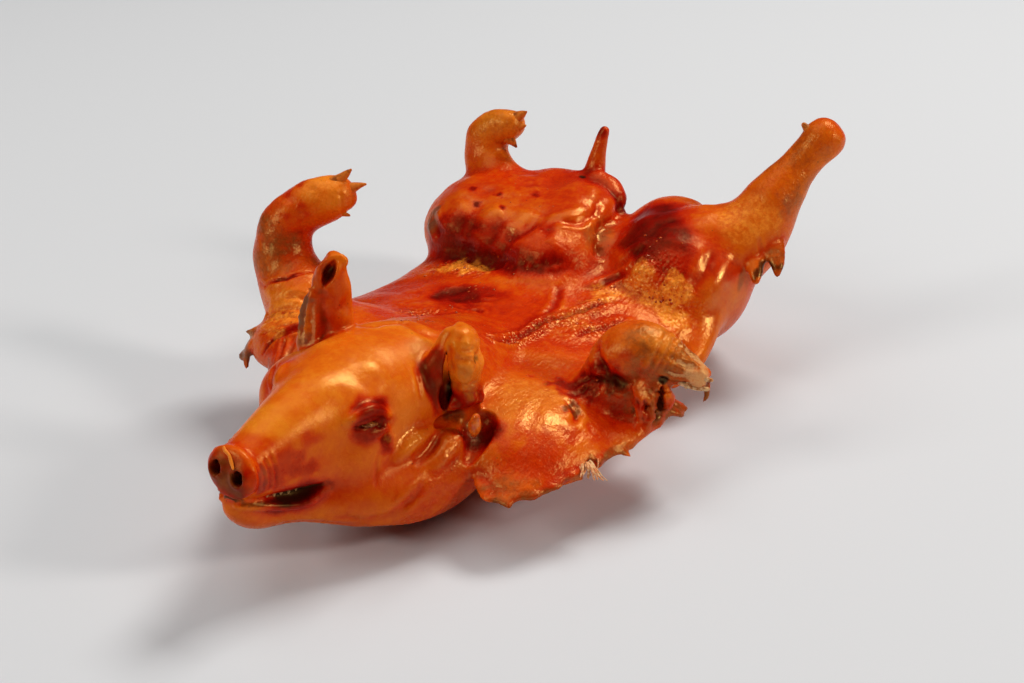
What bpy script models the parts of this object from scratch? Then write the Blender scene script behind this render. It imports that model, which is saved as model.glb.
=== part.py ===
"""Roast suckling pig, opened along its belly and laid out flat: one solid.

The pig lies on its belly along Y with its snout towards -Y, its tail towards +Y and its left
side towards +X.  Each mass of the carcass is a lofted or ball-shaped form.  The masses are
fused, smoothed like roasted skin over meat, cut for mouth, nostrils, eyes and ears, and set
down on a flat underside at Z = 0.
"""
import math

import bmesh
import bpy
from mathutils import Matrix, Vector

MM = 0.001

# Driving dimensions, in millimetres
HEAD_LENGTH = 178.0        # snout disc to poll
HEAD_POLL = (-8.0, -148.0, 104.0)
HEAD_YAW = 265.5           # degrees from +X: the head points along -Y, a little to the right
HEAD_NOD = 3.0
HEAD_ROLL = -7.5
SNOUT_HALF_WIDTH = 18.5
SNOUT_HALF_HEIGHT = 15.0
EAR_THICKNESS = 6.0
SKIN_EDGE = 9.0            # half the thickness of the skin flaps' rims
BACK_HEIGHT = 78.0

# Where the rags of torn skin and the claws sit, in millimetres
LEFT_RIM = ((80, -176, 46), (102, -192, 41), (120, -166, 45), (124, -142, 47), (136, -112, 48),
            (142, -76, 49), (152, -48, 53), (148, -12, 55))
CLAWS = (((-150, -32, 160), (-138, -24, 166), (-126, -19, 168)),
         ((-146, -32, 152), (-136, -30, 154), (-128, -29, 150)),
         ((-158, -44, 146), (-146, -42, 142), (-136, -41, 142)),
         ((-122, 188, 168), (-112, 184, 173), (-102, 181, 174)),
         ((-120, 186, 160), (-110, 182, 160), (-102, 181, 156)),
         ((152, 208, 186), (146, 210, 194), (144, 212, 199)))
CLAW_RADII = (6.5, 6.0, 3.2)
WRINKLES = 5
FLAT_END = 0.2             # bulge of the snout's flat end, as a share of its half height
NOSE_TIP = 14.0            # degrees by which the nose disc looks up

# Ears are rolled from a grid of this many rows and turns
EAR_STEPS = 9
EAR_TURNS = 16

# Look of the roast skin
SKIN_COLOUR = (0.52, 0.13, 0.02, 1.0)
SKIN_ROUGHNESS = 0.3

# Mesh fineness, in millimetres
MASS_VOXEL = 4.0
FORM_VOXEL = 2.6
HOLLOW_VOXEL = 1.5
CARVED_VOXEL = 2.0
MASS_SMOOTHING = 14
FORM_SMOOTHING = 3
CUT_SMOOTHING = 1
RING_POINTS = 20
BALL_SEGMENTS = 28
BALL_RINGS = 18
STATIONS_PER_SPAN = 4
TARGET_TRIANGLES = 8600

UP = Vector((0, 0, 1))


def clear_scene():
    for item in list(bpy.data.objects):
        bpy.data.objects.remove(item)


def head_frame():
    """Head space has X along the snout, Y to the pig's left and Z to its forehead."""
    place = Matrix.Translation(Vector(HEAD_POLL))
    yaw = Matrix.Rotation(math.radians(HEAD_YAW), 4, "Z")
    nod = Matrix.Rotation(math.radians(HEAD_NOD), 4, "Y")
    roll = Matrix.Rotation(math.radians(HEAD_ROLL), 4, "X")
    return place @ yaw @ nod @ roll


def smooth_row(before, start, end, after, step):
    """Catmull-Rom value of a whole row of numbers between start and end."""
    row = []
    for a, b, c, d in zip(before, start, end, after):
        bend = (2 * a - 5 * b + 4 * c - d) * step ** 2 + (3 * b - a - 3 * c + d) * step ** 3
        row.append(0.5 * (2 * b + (c - a) * step + bend))
    return row


def stations(rows):
    """Rows of x, y, z, half width, height above and depth below, made finer."""
    full = [list(row) + [row[-1]] * (6 - len(row)) for row in rows]
    first = [2 * a - b for a, b in zip(full[0], full[1])]
    last = [2 * a - b for a, b in zip(full[-1], full[-2])]
    padded = [first] + full + [last]
    fine = []
    for index in range(len(full) - 1):
        for part in range(STATIONS_PER_SPAN):
            fine.append(smooth_row(*padded[index:index + 4], part / STATIONS_PER_SPAN))
    fine.append(full[-1])
    return fine


def egg_ring(bm, middle, side, rise, half_width, above, below):
    ring = []
    for point in range(RING_POINTS):
        angle = 2 * math.pi * point / RING_POINTS
        height = above if math.sin(angle) > 0 else below
        offset = side * half_width * math.cos(angle) + rise * height * math.sin(angle)
        ring.append(bm.verts.new(middle + offset))
    return ring


def loft(bm, rows, up=UP, place=None, blunt=1.0):
    """A closed tube with egg-shaped sections through the stations.  Its ends are rounded, and
    flatter where the blunt value is low."""
    fine = stations(rows)
    middles = [Vector(row[:3]) for row in fine]
    rings = []
    for index, row in enumerate(fine):
        ahead = middles[min(index + 1, len(fine) - 1)]
        behind = middles[max(index - 1, 0)]
        along = (ahead - behind).normalized()
        side = up.cross(along).normalized()
        rise = along.cross(side)
        sizes = row[3:6]
        if index == 0:
            rings += [(middles[0] - along * blunt * min(sizes) * math.sin(turn), side, rise,
                       [size * math.cos(turn) for size in sizes]) for turn in (1.3, 0.9, 0.45)]
        rings.append((middles[index], side, rise, sizes))
        if index == len(fine) - 1:
            rings += [(middles[-1] + along * blunt * min(sizes) * math.sin(turn), side, rise,
                       [size * math.cos(turn) for size in sizes]) for turn in (0.45, 0.9, 1.3)]
    loops = [egg_ring(bm, middle, side, rise, *sizes) for middle, side, rise, sizes in rings]
    for near, far in zip(loops, loops[1:]):
        for point in range(RING_POINTS):
            after = (point + 1) % RING_POINTS
            bm.faces.new((near[point], near[after], far[after], far[point]))
    bm.faces.new(reversed(loops[0]))
    bm.faces.new(loops[-1])
    if place is not None:
        bmesh.ops.transform(bm, matrix=place, verts=[vert for loop in loops for vert in loop])


def ball(bm, centre, radii, heading=(1, 0, 0), place=None):
    """An ellipsoid whose first radius lies along the heading."""
    along = Vector(heading).normalized()
    side = UP.cross(along).normalized()
    rise = along.cross(side)
    turn = Matrix((along, side, rise)).transposed().to_4x4()
    matrix = Matrix.Translation(Vector(centre)) @ turn @ Matrix.Diagonal((*radii, 1.0))
    if place is not None:
        matrix = place @ matrix
    bmesh.ops.create_uvsphere(bm, u_segments=BALL_SEGMENTS, v_segments=BALL_RINGS, radius=1.0,
                              matrix=matrix)


def mesh_object(name, bm):
    """Finishes a form drawn in millimetres as an object in metres."""
    bmesh.ops.recalc_face_normals(bm, faces=bm.faces)
    bmesh.ops.scale(bm, vec=(MM, MM, MM), verts=bm.verts)
    mesh = bpy.data.meshes.new(name)
    bm.to_mesh(mesh)
    bm.free()
    made = bpy.data.objects.new(name, mesh)
    bpy.context.scene.collection.objects.link(made)
    return made


def settle(item):
    """Replaces an object's mesh by what its modifiers make of it."""
    graph = bpy.context.evaluated_depsgraph_get()
    graph.update()
    finished = bpy.data.meshes.new_from_object(item.evaluated_get(graph))
    item.modifiers.clear()
    item.data = finished


def fuse(item, voxel, smoothing):
    remesh = item.modifiers.new("fuse", "REMESH")
    remesh.mode = "VOXEL"
    remesh.voxel_size = voxel * MM
    smooth = item.modifiers.new("smooth", "SMOOTH")
    smooth.factor = 0.5
    smooth.iterations = smoothing
    settle(item)


def carve(item, tool):
    cut = item.modifiers.new("cut", "BOOLEAN")
    cut.operation = "DIFFERENCE"
    cut.solver = "EXACT"
    cut.object = tool
    settle(item)
    bpy.data.objects.remove(tool)


def add_mesh(bm, item):
    """Brings a finished object, in metres, into a form that is drawn in millimetres."""
    start = len(bm.verts)
    bm.from_mesh(item.data)
    bm.verts.ensure_lookup_table()
    bmesh.ops.scale(bm, vec=(1 / MM, 1 / MM, 1 / MM), verts=bm.verts[start:])
    bpy.data.objects.remove(item)


def trunk(bm):
    """Rib cage, back skin and rump."""
    loft(bm, [(-15, -120, 40, 95, 30, 50), (-15, -60, 42, 112, 34, 50), (-15, 0, 42, 110, 36, 50),
              (-15, 60, 44, 112, 36, 50), (-18, 130, 50, 112, 40, 55)])
    skin = BACK_HEIGHT - 20
    loft(bm, [(-16, -130, skin, 90, 20, 18), (-18, -90, skin, 140, 22, 16),
              (-18, -50, skin, 150, 22, 16), (-18, 0, skin, 132, 22, 20),
              (-16, 50, skin, 128, 24, 26), (-12, 100, skin + 2, 135, 30, 34)])
    loft(bm, [(-20, 90, 64, 50), (-25, 140, 82, 50), (-40, 178, 92, 42)])
    loft(bm, [(-15, -40, 52, 60, 34, 40), (-14, -90, 66, 58, 38, 50), (-10, -130, 80, 54, 40, 55),
              (-8, -165, 88, 48, 42, 50)])


def shoulders(bm):
    """Skin over the opened shoulders, thin at the rim that hangs free."""
    loft(bm, [(10, -105, 54, 58, 26, 20), (55, -115, 54, 66, 28, 18), (92, -128, 51, 60, 25, 14),
              (116, -140, 46, 44, 17, SKIN_EDGE), (126, -145, 43, 26, 9, 6)])
    loft(bm, [(76, -160, 50, 18, 9), (98, -172, 45, 20, 7), (112, -152, 48, 16, 7),
              (116, -134, 49, 18, 7), (126, -104, 51, 20, 7), (134, -74, 53, 22, 7),
              (140, -36, 57, 18, 7)])
    loft(bm, [(-30, -90, 58, 50, 26, 20), (-90, -92, 62, 54, 30, 18), (-130, -96, 62, 50, 30, 18),
              (-155, -98, 58, 38, 26, 15), (-166, -98, 54, 24, 14, 10)])


def hams(bm):
    ball(bm, (-98, 148, 80), (72, 74, 50), (1, -0.1, 0))
    ball(bm, (-66, 142, 84), (74, 74, 45))
    ball(bm, (-62, 180, 96), (50, 36, 36))
    ball(bm, (72, 143, 72), (63, 74, 58), (0.8, 0.3, 0.1))
    ball(bm, (52, 175, 92), (40, 40, 36))
    loft(bm, [(108, 138, 78, 24, 22), (116, 98, 60, 16, 15), (119, 64, 42, 14, 12),
              (113, 40, 30, 10, 9)])


def legs(bm):
    """Hind shanks and front legs as they stand off the carcass."""
    loft(bm, [(90, 150, 90, 46), (122, 166, 112, 33), (140, 185, 148, 22), (153, 201, 171, 16),
              (163, 211, 186, 18), (167, 214, 192, 16)], blunt=0.5)
    loft(bm, [(-112, 168, 100, 32), (-138, 184, 126, 21), (-142, 188, 144, 18),
              (-131, 190, 156, 17), (-119, 190, 160, 15), (-110, 190, 161, 12)], blunt=0.5)
    loft(bm, [(-145, -78, 78, 34), (-170, -66, 98, 27), (-180, -62, 118, 23),
              (-177, -56, 138, 20.5), (-166, -48, 150, 19.5), (-153, -38, 156, 19),
              (-143, -31, 160, 15), (-137, -27, 160, 12)], blunt=0.5)
    loft(bm, [(112, -62, 70, 26), (119, -60, 92, 23), (129, -56, 101, 22), (145, -52, 99, 19),
              (158, -49, 93, 14), (170, -46, 88, 10.5), (177, -44, 84, 9.5)], blunt=0.5)


def skull(bm, head):
    """Skull and snout, then the cheeks and the jowls that spread to each side."""
    loft(bm, [(-25, 0, -22, 46, 32, 40), (5, 0, -16, 50, 38, 50), (40, 0, -12, 50, 42, 52),
              (70, 0, -10, 44, 41, 50), (95, 1, -10, 36, 39, 40), (120, 1, -8, 28, 35, 27),
              (145, 1, -6, 22, 26, 19), (163, 2, -4, 19, 18, 17),
              (HEAD_LENGTH - 3, 2, -3, SNOUT_HALF_WIDTH, SNOUT_HALF_HEIGHT)], place=head,
         blunt=FLAT_END)
    for side in (1, -1):
        loft(bm, [(150, 6 * side, -40, 11, 10, 12), (125, 17 * side, -44, 17, 13, 15),
                  (95, 30 * side, -50, 25, 22, 22), (65, 44 * side, -54, 30, 28, 32),
                  (38, 52 * side, -54, 32, 30, 34), (10, 56 * side, -48, 32, 30, 32)], place=head)
        loft(bm, [(168, 8 * side, -12, 8), (154, 11 * side, -14, 10.5), (138, 15 * side, -16, 12.5),
                  (120, 20 * side, -18, 14), (104, 24 * side, -18, 15)], place=head)
        ball(bm, (72, 30 * side, -28), (42, 20, 32), place=head)
        ball(bm, (78, 27 * side, 9), (24, 13, 12), place=head)
    loft(bm, [(172, 1, -30, 10, 7, 8), (163, 1, -36, 15, 10, 13), (148, 0, -42, 18, 12, 18),
              (124, 0, -47, 22, 12, 18), (92, 0, -50, 25, 12, 19)], place=head)
    ball(bm, (66, -42, -10), (32, 18, 22), place=head)


def snout(bm, head):
    """The disc of the nose, tipped back a little, a shade wider than the snout behind it."""
    tip = Matrix.Rotation(math.radians(-NOSE_TIP), 4, "Y")
    disc = head @ Matrix.Translation((HEAD_LENGTH - 3, 2, -1)) @ tip
    loft(bm, [(-5, 0, 0, SNOUT_HALF_WIDTH - 1, SNOUT_HALF_HEIGHT - 1),
              (-1, 0, 0, SNOUT_HALF_WIDTH + 1, SNOUT_HALF_HEIGHT + 1),
              (1, 0, 0, SNOUT_HALF_WIDTH, SNOUT_HALF_HEIGHT)], place=disc, blunt=FLAT_END)


def ear(name, head, base, top, radii, opening, gap, curl):
    """A roasted ear: one leaf of skin rolled round its own axis, open to one side."""
    bm = bmesh.new()
    base, top = Vector(base), Vector(top)
    grid = []
    for step in range(EAR_STEPS + 1):
        rise = step / EAR_STEPS
        axis = base.lerp(top, rise)
        radius = radii[0] + (radii[1] - radii[0]) * rise ** 0.8
        row = []
        for turn in range(EAR_TURNS + 1):
            share = turn / EAR_TURNS
            angle = math.radians(opening + gap / 2 + (360 - gap) * share)
            reach = radius * (1 + curl * (1 - share) ** 2)
            spot = axis + Vector((math.cos(angle), math.sin(angle), 0)) * reach
            row.append(bm.verts.new(spot))
        grid.append(row)
    for lower, upper in zip(grid, grid[1:]):
        for turn in range(EAR_TURNS):
            bm.faces.new((lower[turn], lower[turn + 1], upper[turn + 1], upper[turn]))
    bmesh.ops.transform(bm, matrix=head, verts=bm.verts)
    leaf = mesh_object(name, bm)
    thicken = leaf.modifiers.new("thickness", "SOLIDIFY")
    thicken.thickness = EAR_THICKNESS * MM
    thicken.offset = 0
    settle(leaf)
    return leaf


def tail(bm):
    loft(bm, [(-33, 190, 122, 13), (-33, 196, 142, 8), (-31, 200, 160, 4.5), (-30, 201, 166, 3.5)])


def claws(bm):
    """Split hooves of the right front and right hind foot, and the left hind dewclaw."""
    for start, middle, end in CLAWS:
        loft(bm, [(*spot, radius) for spot, radius in zip((start, middle, end), CLAW_RADII)])


def torn_edges(bm):
    """Rags of skin along the rim of the left shoulder, the right shoulder and the left knee."""
    rim = stations([(*spot, 6) for spot in LEFT_RIM])
    for index, (x, y, z, *_) in enumerate(rim):
        reach = 8 + 3 * math.sin(2.3 * index) + 2 * math.sin(5.1 * index)
        ball(bm, (x, y, z), (reach, 9, 5.5), (x, y + 60, 0))
    loft(bm, [(-150, -110, 66, 12, 7), (-168, -116, 58, 10, 4.5), (-182, -119, 50, 6, 3.5)])
    loft(bm, [(142, 152, 112, 16, 9), (156, 142, 104, 11, 6), (163, 132, 97, 6, 4)])


def wrinkles(bm):
    """Folds of loose skin across the right shoulder."""
    for shift in range(WRINKLES):
        y = -126 + 15 * shift
        lift = 4 * math.sin(1.3 * shift)
        loft(bm, [(-98, y - 6, 84 + lift, 4.5, 3.5), (-125, y, 90 + lift, 5.5, 4.5),
                  (-150, y + 7, 85 + lift, 4.5, 3.5)])


def cuts(head):
    """The hollows: mouth, nostrils, eye sockets, the torn hollow behind the jaw, the dents."""
    bm = bmesh.new()
    ball(bm, (154, 0, -26), (37, 40, 3.2), (-1, 0, -0.2), place=head)
    for side in (1, -1):
        ball(bm, (138, 26 * side, -28.5), (14, 12, 4.6), (-1, 0, -0.1), place=head)
        ball(bm, (HEAD_LENGTH, 2 + 9 * side, 0), (12, 4.2, 5), place=head)
        ball(bm, (84, 45 * side, 5), (13, 9, 12), place=head)
    ball(bm, (60, -166, 74), (15, 17, 13))
    ball(bm, (119, -80, 88), (9, 9, 13))
    ball(bm, (-46, 2, 84), (26, 15, 9), (1, 0.3, 0))
    ball(bm, (178, -43, 82), (9, 4.5, 4.5), (1, 0.2, -0.3))
    loft(bm, [(26, -64, 90, 5, 6), (27, -10, 83, 6, 6), (36, 28, 82, 6, 6), (60, 56, 83, 5, 6)])
    hollows = mesh_object("hollows", bm)
    fuse(hollows, HOLLOW_VOXEL, CUT_SMOOTHING)
    return hollows


def lighten(item, triangles):
    faces = sum(len(face.vertices) - 2 for face in item.data.polygons)
    thin = item.modifiers.new("fewer faces", "DECIMATE")
    thin.ratio = triangles / faces
    settle(item)


def set_down(item):
    """Cuts the underside flat at Z = 0 and closes it."""
    bm = bmesh.new()
    bm.from_mesh(item.data)
    parts = bm.verts[:] + bm.edges[:] + bm.faces[:]
    cut = bmesh.ops.bisect_plane(bm, geom=parts, dist=1e-6, plane_co=(0, 0, 0),
                                 plane_no=(0, 0, -1), clear_outer=True)
    rim = [part for part in cut["geom_cut"] if isinstance(part, bmesh.types.BMEdge)]
    bmesh.ops.triangle_fill(bm, use_beauty=True, edges=rim, normal=(0, 0, -1))
    bmesh.ops.recalc_face_normals(bm, faces=bm.faces)
    bm.to_mesh(item.data)
    bm.free()


def roast_skin():
    skin = bpy.data.materials.new("roast_skin")
    skin.use_nodes = True
    shader = skin.node_tree.nodes["Principled BSDF"]
    shader.inputs["Base Color"].default_value = SKIN_COLOUR
    shader.inputs["Roughness"].default_value = SKIN_ROUGHNESS
    shader.inputs["Metallic"].default_value = 0.0
    return skin


clear_scene()
head = head_frame()

masses = bmesh.new()
trunk(masses)
shoulders(masses)
hams(masses)
legs(masses)
skull(masses, head)
carcass = mesh_object("carcass", masses)
fuse(carcass, MASS_VOXEL, MASS_SMOOTHING)

forms = bmesh.new()
snout(forms, head)
tail(forms)
claws(forms)
torn_edges(forms)
wrinkles(forms)
add_mesh(forms, carcass)
add_mesh(forms, ear("left_ear", head, (8, 53, -14), (-6, 51, 42), (19, 8), 20, 70, 0.75))
add_mesh(forms, ear("right_ear", head, (28, -42, -4), (26, -40, 67), (19, 6.5), 35, 60, 0.4))
pig = mesh_object("suckling_pig", forms)
fuse(pig, FORM_VOXEL, FORM_SMOOTHING)
carve(pig, cuts(head))
fuse(pig, CARVED_VOXEL, CUT_SMOOTHING)
lighten(pig, TARGET_TRIANGLES)
set_down(pig)
pig.data.materials.append(roast_skin())
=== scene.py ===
"""Roast suckling pig: the looks of the whole animal, laid out on its opened belly."""

import math
import random

import bmesh
import bpy
import numpy as np
from mathutils import Matrix, Vector, noise
from mathutils.bvhtree import BVHTree


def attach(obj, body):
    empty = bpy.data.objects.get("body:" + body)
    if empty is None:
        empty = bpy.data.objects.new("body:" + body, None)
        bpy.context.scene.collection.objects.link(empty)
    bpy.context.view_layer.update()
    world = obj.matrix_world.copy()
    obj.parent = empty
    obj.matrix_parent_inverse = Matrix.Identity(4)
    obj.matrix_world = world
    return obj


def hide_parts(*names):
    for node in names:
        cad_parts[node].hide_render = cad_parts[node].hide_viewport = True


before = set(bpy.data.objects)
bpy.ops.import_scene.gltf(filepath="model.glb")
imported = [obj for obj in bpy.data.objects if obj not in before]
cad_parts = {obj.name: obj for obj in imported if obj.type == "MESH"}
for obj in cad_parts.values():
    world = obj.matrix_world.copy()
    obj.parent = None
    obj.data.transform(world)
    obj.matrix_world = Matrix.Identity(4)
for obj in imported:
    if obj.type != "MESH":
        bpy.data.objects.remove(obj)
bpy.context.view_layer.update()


# ---- Table, light and camera ------------------------------------------------------------
# The pig lies on a pale matt table.  A soft lamp hangs behind it, a broad one over it, a third
# lights the snout from the front left and a small one the left side; the room fills the rest.

TABLE_SIZE = 12.0
TABLE_GREY = (0.665, 0.72, 0.88, 1.0)
ROOM_GREY = (0.95, 0.84, 0.7, 1.0)
ROOM_STRENGTH = 0.05
VIEW_POINT = Vector((0.0, -0.010, 0.058))
VIEW_DISTANCE = 1.17
VIEW_AZIMUTH = math.radians(30.0)
VIEW_HEIGHT = math.radians(25.62)
LENS = 52.73

table_mesh = bpy.data.meshes.new("table")
half = TABLE_SIZE / 2
table_mesh.from_pydata([(-half, -half, 0), (half, -half, 0), (half, half, 0), (-half, half, 0)],
                       [], [(0, 1, 2, 3)])
table = bpy.data.objects.new("table", table_mesh)
bpy.context.scene.collection.objects.link(table)
table_paint = bpy.data.materials.new("table_paint")
table_paint.use_nodes = True
for socket, value in (("Base Color", TABLE_GREY), ("Roughness", 0.85), ("Specular IOR Level", 0.1)):
    table_paint.node_tree.nodes["Principled BSDF"].inputs[socket].default_value = value
table_mesh.materials.append(table_paint)

room = bpy.data.worlds.new("room")
room.use_nodes = True
room.node_tree.nodes["Background"].inputs["Color"].default_value = ROOM_GREY
room.node_tree.nodes["Background"].inputs["Strength"].default_value = ROOM_STRENGTH
bpy.context.scene.world = room
bpy.context.scene.view_settings.view_transform = "Standard"


def lamp(name, place, width, height, power, colour):
    light = bpy.data.lights.new(name, "AREA")
    light.shape = "RECTANGLE"
    light.size = width
    light.size_y = height
    light.energy = power
    light.color = colour
    holder = bpy.data.objects.new(name, light)
    holder.location = place
    holder.rotation_euler = (VIEW_POINT - Vector(place)).to_track_quat("-Z", "Y").to_euler()
    bpy.context.scene.collection.objects.link(holder)


lamp("key_lamp", (0.5, 2.8, 4.1), 1.8, 1.5, 148, (1.0, 0.93, 0.76))
lamp("ceiling_lamp", (-1.5, 0.0, 5.0), 4.0, 4.0, 62, (1.0, 0.94, 0.8))
lamp("front_lamp", (-2.2, -3.4, 2.5), 1.6, 1.6, 74, (1.0, 0.92, 0.74))
lamp("side_lamp", (3.15, 0.6, 1.9), 0.7, 0.7, 52, (1.0, 0.88, 0.7))

camera = bpy.data.objects.new("camera", bpy.data.cameras.new("camera"))
back = Vector((math.sin(VIEW_AZIMUTH) * math.cos(VIEW_HEIGHT),
               -math.cos(VIEW_AZIMUTH) * math.cos(VIEW_HEIGHT), math.sin(VIEW_HEIGHT)))
camera.location = VIEW_POINT + back * VIEW_DISTANCE
camera.rotation_euler = (math.pi / 2 - VIEW_HEIGHT, 0, VIEW_AZIMUTH)
camera.data.lens = LENS
bpy.context.scene.collection.objects.link(camera)
bpy.context.scene.camera = camera


# ---- Skin, meat and bone: the carcass ---------------------------------------------------
# One piglet, opened along its belly and pressed flat, roasted until the skin is tight and
# glossy.  Its masses are drawn in millimetres as tubes and balls, fused into one skin and
# then worked: folds, dents, blisters and tears.

MM = 0.001
UP = Vector((0, 0, 1))
RING_POINTS = 24
BALL_RINGS = 14
STATIONS_PER_SPAN = 5
MASS_VOXEL = 4.0
MASS_SMOOTHING = 14
FORM_SMOOTHING = 3
CUT_SMOOTHING = 1
SKIN_VOXEL = 1.6
HOLLOW_VOXEL = 1.2
HEAD_LENGTH = 178.0
SNOUT_HALF_WIDTH = 18.5
SNOUT_HALF_HEIGHT = 15.0
EYE_SIDES = (1, -0.88)  # the left eye, then the right one, which stands out less

head = (Matrix.Translation((-8, -148, 104)) @ Matrix.Rotation(math.radians(265.5), 4, "Z")
        @ Matrix.Rotation(math.radians(3.0), 4, "Y") @ Matrix.Rotation(math.radians(-7.5), 4, "X"))
nose = (head @ Matrix.Translation((HEAD_LENGTH - 4, 2, -1))
        @ Matrix.Rotation(math.radians(-14), 4, "Y"))


def smooth_row(before, start, end, after, step):
    """Catmull-Rom value of a whole row of numbers between start and end."""
    row = []
    for a, b, c, d in zip(before, start, end, after):
        bend = (2 * a - 5 * b + 4 * c - d) * step ** 2 + (3 * b - a - 3 * c + d) * step ** 3
        row.append(0.5 * (2 * b + (c - a) * step + bend))
    return row


def finer(rows, parts):
    """More rows on the smooth curve through the given ones."""
    first = [2 * a - b for a, b in zip(rows[0], rows[1])]
    last = [2 * a - b for a, b in zip(rows[-1], rows[-2])]
    padded = [first] + [list(row) for row in rows] + [last]
    fine = []
    for index in range(len(rows) - 1):
        for part in range(parts):
            fine.append(smooth_row(*padded[index:index + 4], part / parts))
    fine.append(list(rows[-1]))
    return fine


def egg_ring(bm, middle, side, rise, half_width, above, below):
    ring = []
    for point in range(RING_POINTS):
        angle = 2 * math.pi * point / RING_POINTS
        height = above if math.sin(angle) > 0 else below
        offset = side * half_width * math.cos(angle) + rise * height * math.sin(angle)
        ring.append(bm.verts.new(middle + offset))
    return ring


def tube(bm, rows, up=UP, place=None, blunt=1.0):
    """A closed tube with egg-shaped sections and rounded ends through rows of x, y, z,
    half width, height above and depth below.  A low blunt value flattens the ends."""
    fine = finer([list(row) + [row[-1]] * (6 - len(row)) for row in rows], STATIONS_PER_SPAN)
    middles = [Vector(row[:3]) for row in fine]
    rings = []
    for index, row in enumerate(fine):
        ahead = middles[min(index + 1, len(fine) - 1)]
        behind = middles[max(index - 1, 0)]
        along = (ahead - behind).normalized()
        side = up.cross(along).normalized()
        rise = along.cross(side)
        sizes = row[3:6]
        if index == 0:
            rings += [(middles[0] - along * blunt * min(sizes) * math.sin(turn), side, rise,
                       [size * math.cos(turn) for size in sizes]) for turn in (1.3, 0.9, 0.45)]
        rings.append((middles[index], side, rise, sizes))
        if index == len(fine) - 1:
            rings += [(middles[-1] + along * blunt * min(sizes) * math.sin(turn), side, rise,
                       [size * math.cos(turn) for size in sizes]) for turn in (0.45, 0.9, 1.3)]
    loops = [egg_ring(bm, middle, side, rise, *sizes) for middle, side, rise, sizes in rings]
    close_rings(bm, loops, place)


def close_rings(bm, loops, place):
    for near, far in zip(loops, loops[1:]):
        for point in range(RING_POINTS):
            after = (point + 1) % RING_POINTS
            bm.faces.new((near[point], near[after], far[after], far[point]))
    bm.faces.new(reversed(loops[0]))
    bm.faces.new(loops[-1])
    if place is not None:
        bmesh.ops.transform(bm, matrix=place, verts=[vert for loop in loops for vert in loop])


def ball(bm, centre, radii, heading=(1, 0, 0), place=None):
    """An ellipsoid whose first radius lies along the heading."""
    along = Vector(heading).normalized()
    side = UP.cross(along).normalized()
    rise = along.cross(side)
    loops = []
    for ring in range(BALL_RINGS + 1):
        turn = math.radians(6 + 168 * ring / BALL_RINGS)
        middle = Vector(centre) - along * radii[0] * math.cos(turn)
        sizes = (radii[1] * math.sin(turn), radii[2] * math.sin(turn), radii[2] * math.sin(turn))
        loops.append(egg_ring(bm, middle, side, rise, *sizes))
    close_rings(bm, loops, place)


def mesh_object(name, bm):
    """Finishes a form drawn in millimetres as an object in metres."""
    bmesh.ops.recalc_face_normals(bm, faces=bm.faces)
    bmesh.ops.scale(bm, vec=(MM, MM, MM), verts=bm.verts)
    mesh = bpy.data.meshes.new(name)
    bm.to_mesh(mesh)
    bm.free()
    made = bpy.data.objects.new(name, mesh)
    bpy.context.scene.collection.objects.link(made)
    return made


def settle(item):
    """Replaces an object's mesh by what its modifiers make of it."""
    graph = bpy.context.evaluated_depsgraph_get()
    graph.update()
    finished = bpy.data.meshes.new_from_object(item.evaluated_get(graph))
    item.modifiers.clear()
    item.data = finished


def fuse(item, voxel, smoothing):
    remesh = item.modifiers.new("fuse", "REMESH")
    remesh.mode = "VOXEL"
    remesh.voxel_size = voxel * MM
    smooth = item.modifiers.new("smooth", "SMOOTH")
    smooth.factor = 0.5
    smooth.iterations = smoothing
    settle(item)


def add_mesh(bm, item):
    """Brings a finished object, in metres, into a form that is drawn in millimetres."""
    start = len(bm.verts)
    bm.from_mesh(item.data)
    bm.verts.ensure_lookup_table()
    bmesh.ops.scale(bm, vec=(1 / MM, 1 / MM, 1 / MM), verts=bm.verts[start:])
    bpy.data.objects.remove(item)


def trunk(bm):
    """Rib cage, back skin, rump and neck."""
    tube(bm, [(-15, -120, 40, 95, 30, 50), (-15, -60, 42, 112, 34, 50), (-15, 0, 42, 110, 36, 50),
              (-15, 60, 44, 112, 36, 50), (-18, 130, 50, 112, 40, 55)])
    tube(bm, [(-16, -130, 58, 90, 20, 18), (-18, -90, 58, 140, 22, 16), (-18, -50, 58, 150, 22, 16),
              (-18, 0, 58, 132, 22, 20), (-16, 50, 58, 128, 24, 26), (-12, 100, 60, 135, 30, 34)])
    tube(bm, [(-20, 90, 64, 50), (-25, 140, 82, 50), (-40, 178, 92, 42)])
    tube(bm, [(-15, -40, 52, 60, 34, 40), (-14, -90, 66, 58, 38, 50), (-10, -130, 80, 54, 40, 55),
              (-8, -165, 88, 48, 42, 50)])


def shoulders(bm):
    """Skin over the opened shoulders, thin at the rims that hang free."""
    tube(bm, [(10, -105, 54, 58, 26, 20), (55, -115, 54, 66, 28, 18), (92, -128, 51, 60, 25, 14),
              (116, -140, 46, 44, 17, 9), (126, -145, 43, 26, 9, 6)])
    tube(bm, [(76, -160, 50, 18, 9), (98, -172, 45, 20, 7), (112, -152, 48, 16, 7),
              (116, -134, 49, 18, 7), (126, -104, 51, 20, 7), (134, -74, 53, 22, 7),
              (140, -36, 57, 18, 7)])
    tube(bm, [(-30, -90, 58, 50, 26, 20), (-90, -92, 62, 54, 30, 18), (-130, -96, 62, 50, 30, 18),
              (-155, -98, 58, 38, 26, 15), (-166, -98, 54, 24, 14, 10)])
    tube(bm, [(-116, -104, 70, 24, 16), (-112, -136, 65, 22, 14), (-99, -160, 59, 19, 12),
              (-80, -178, 54, 13, 9)])


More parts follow.
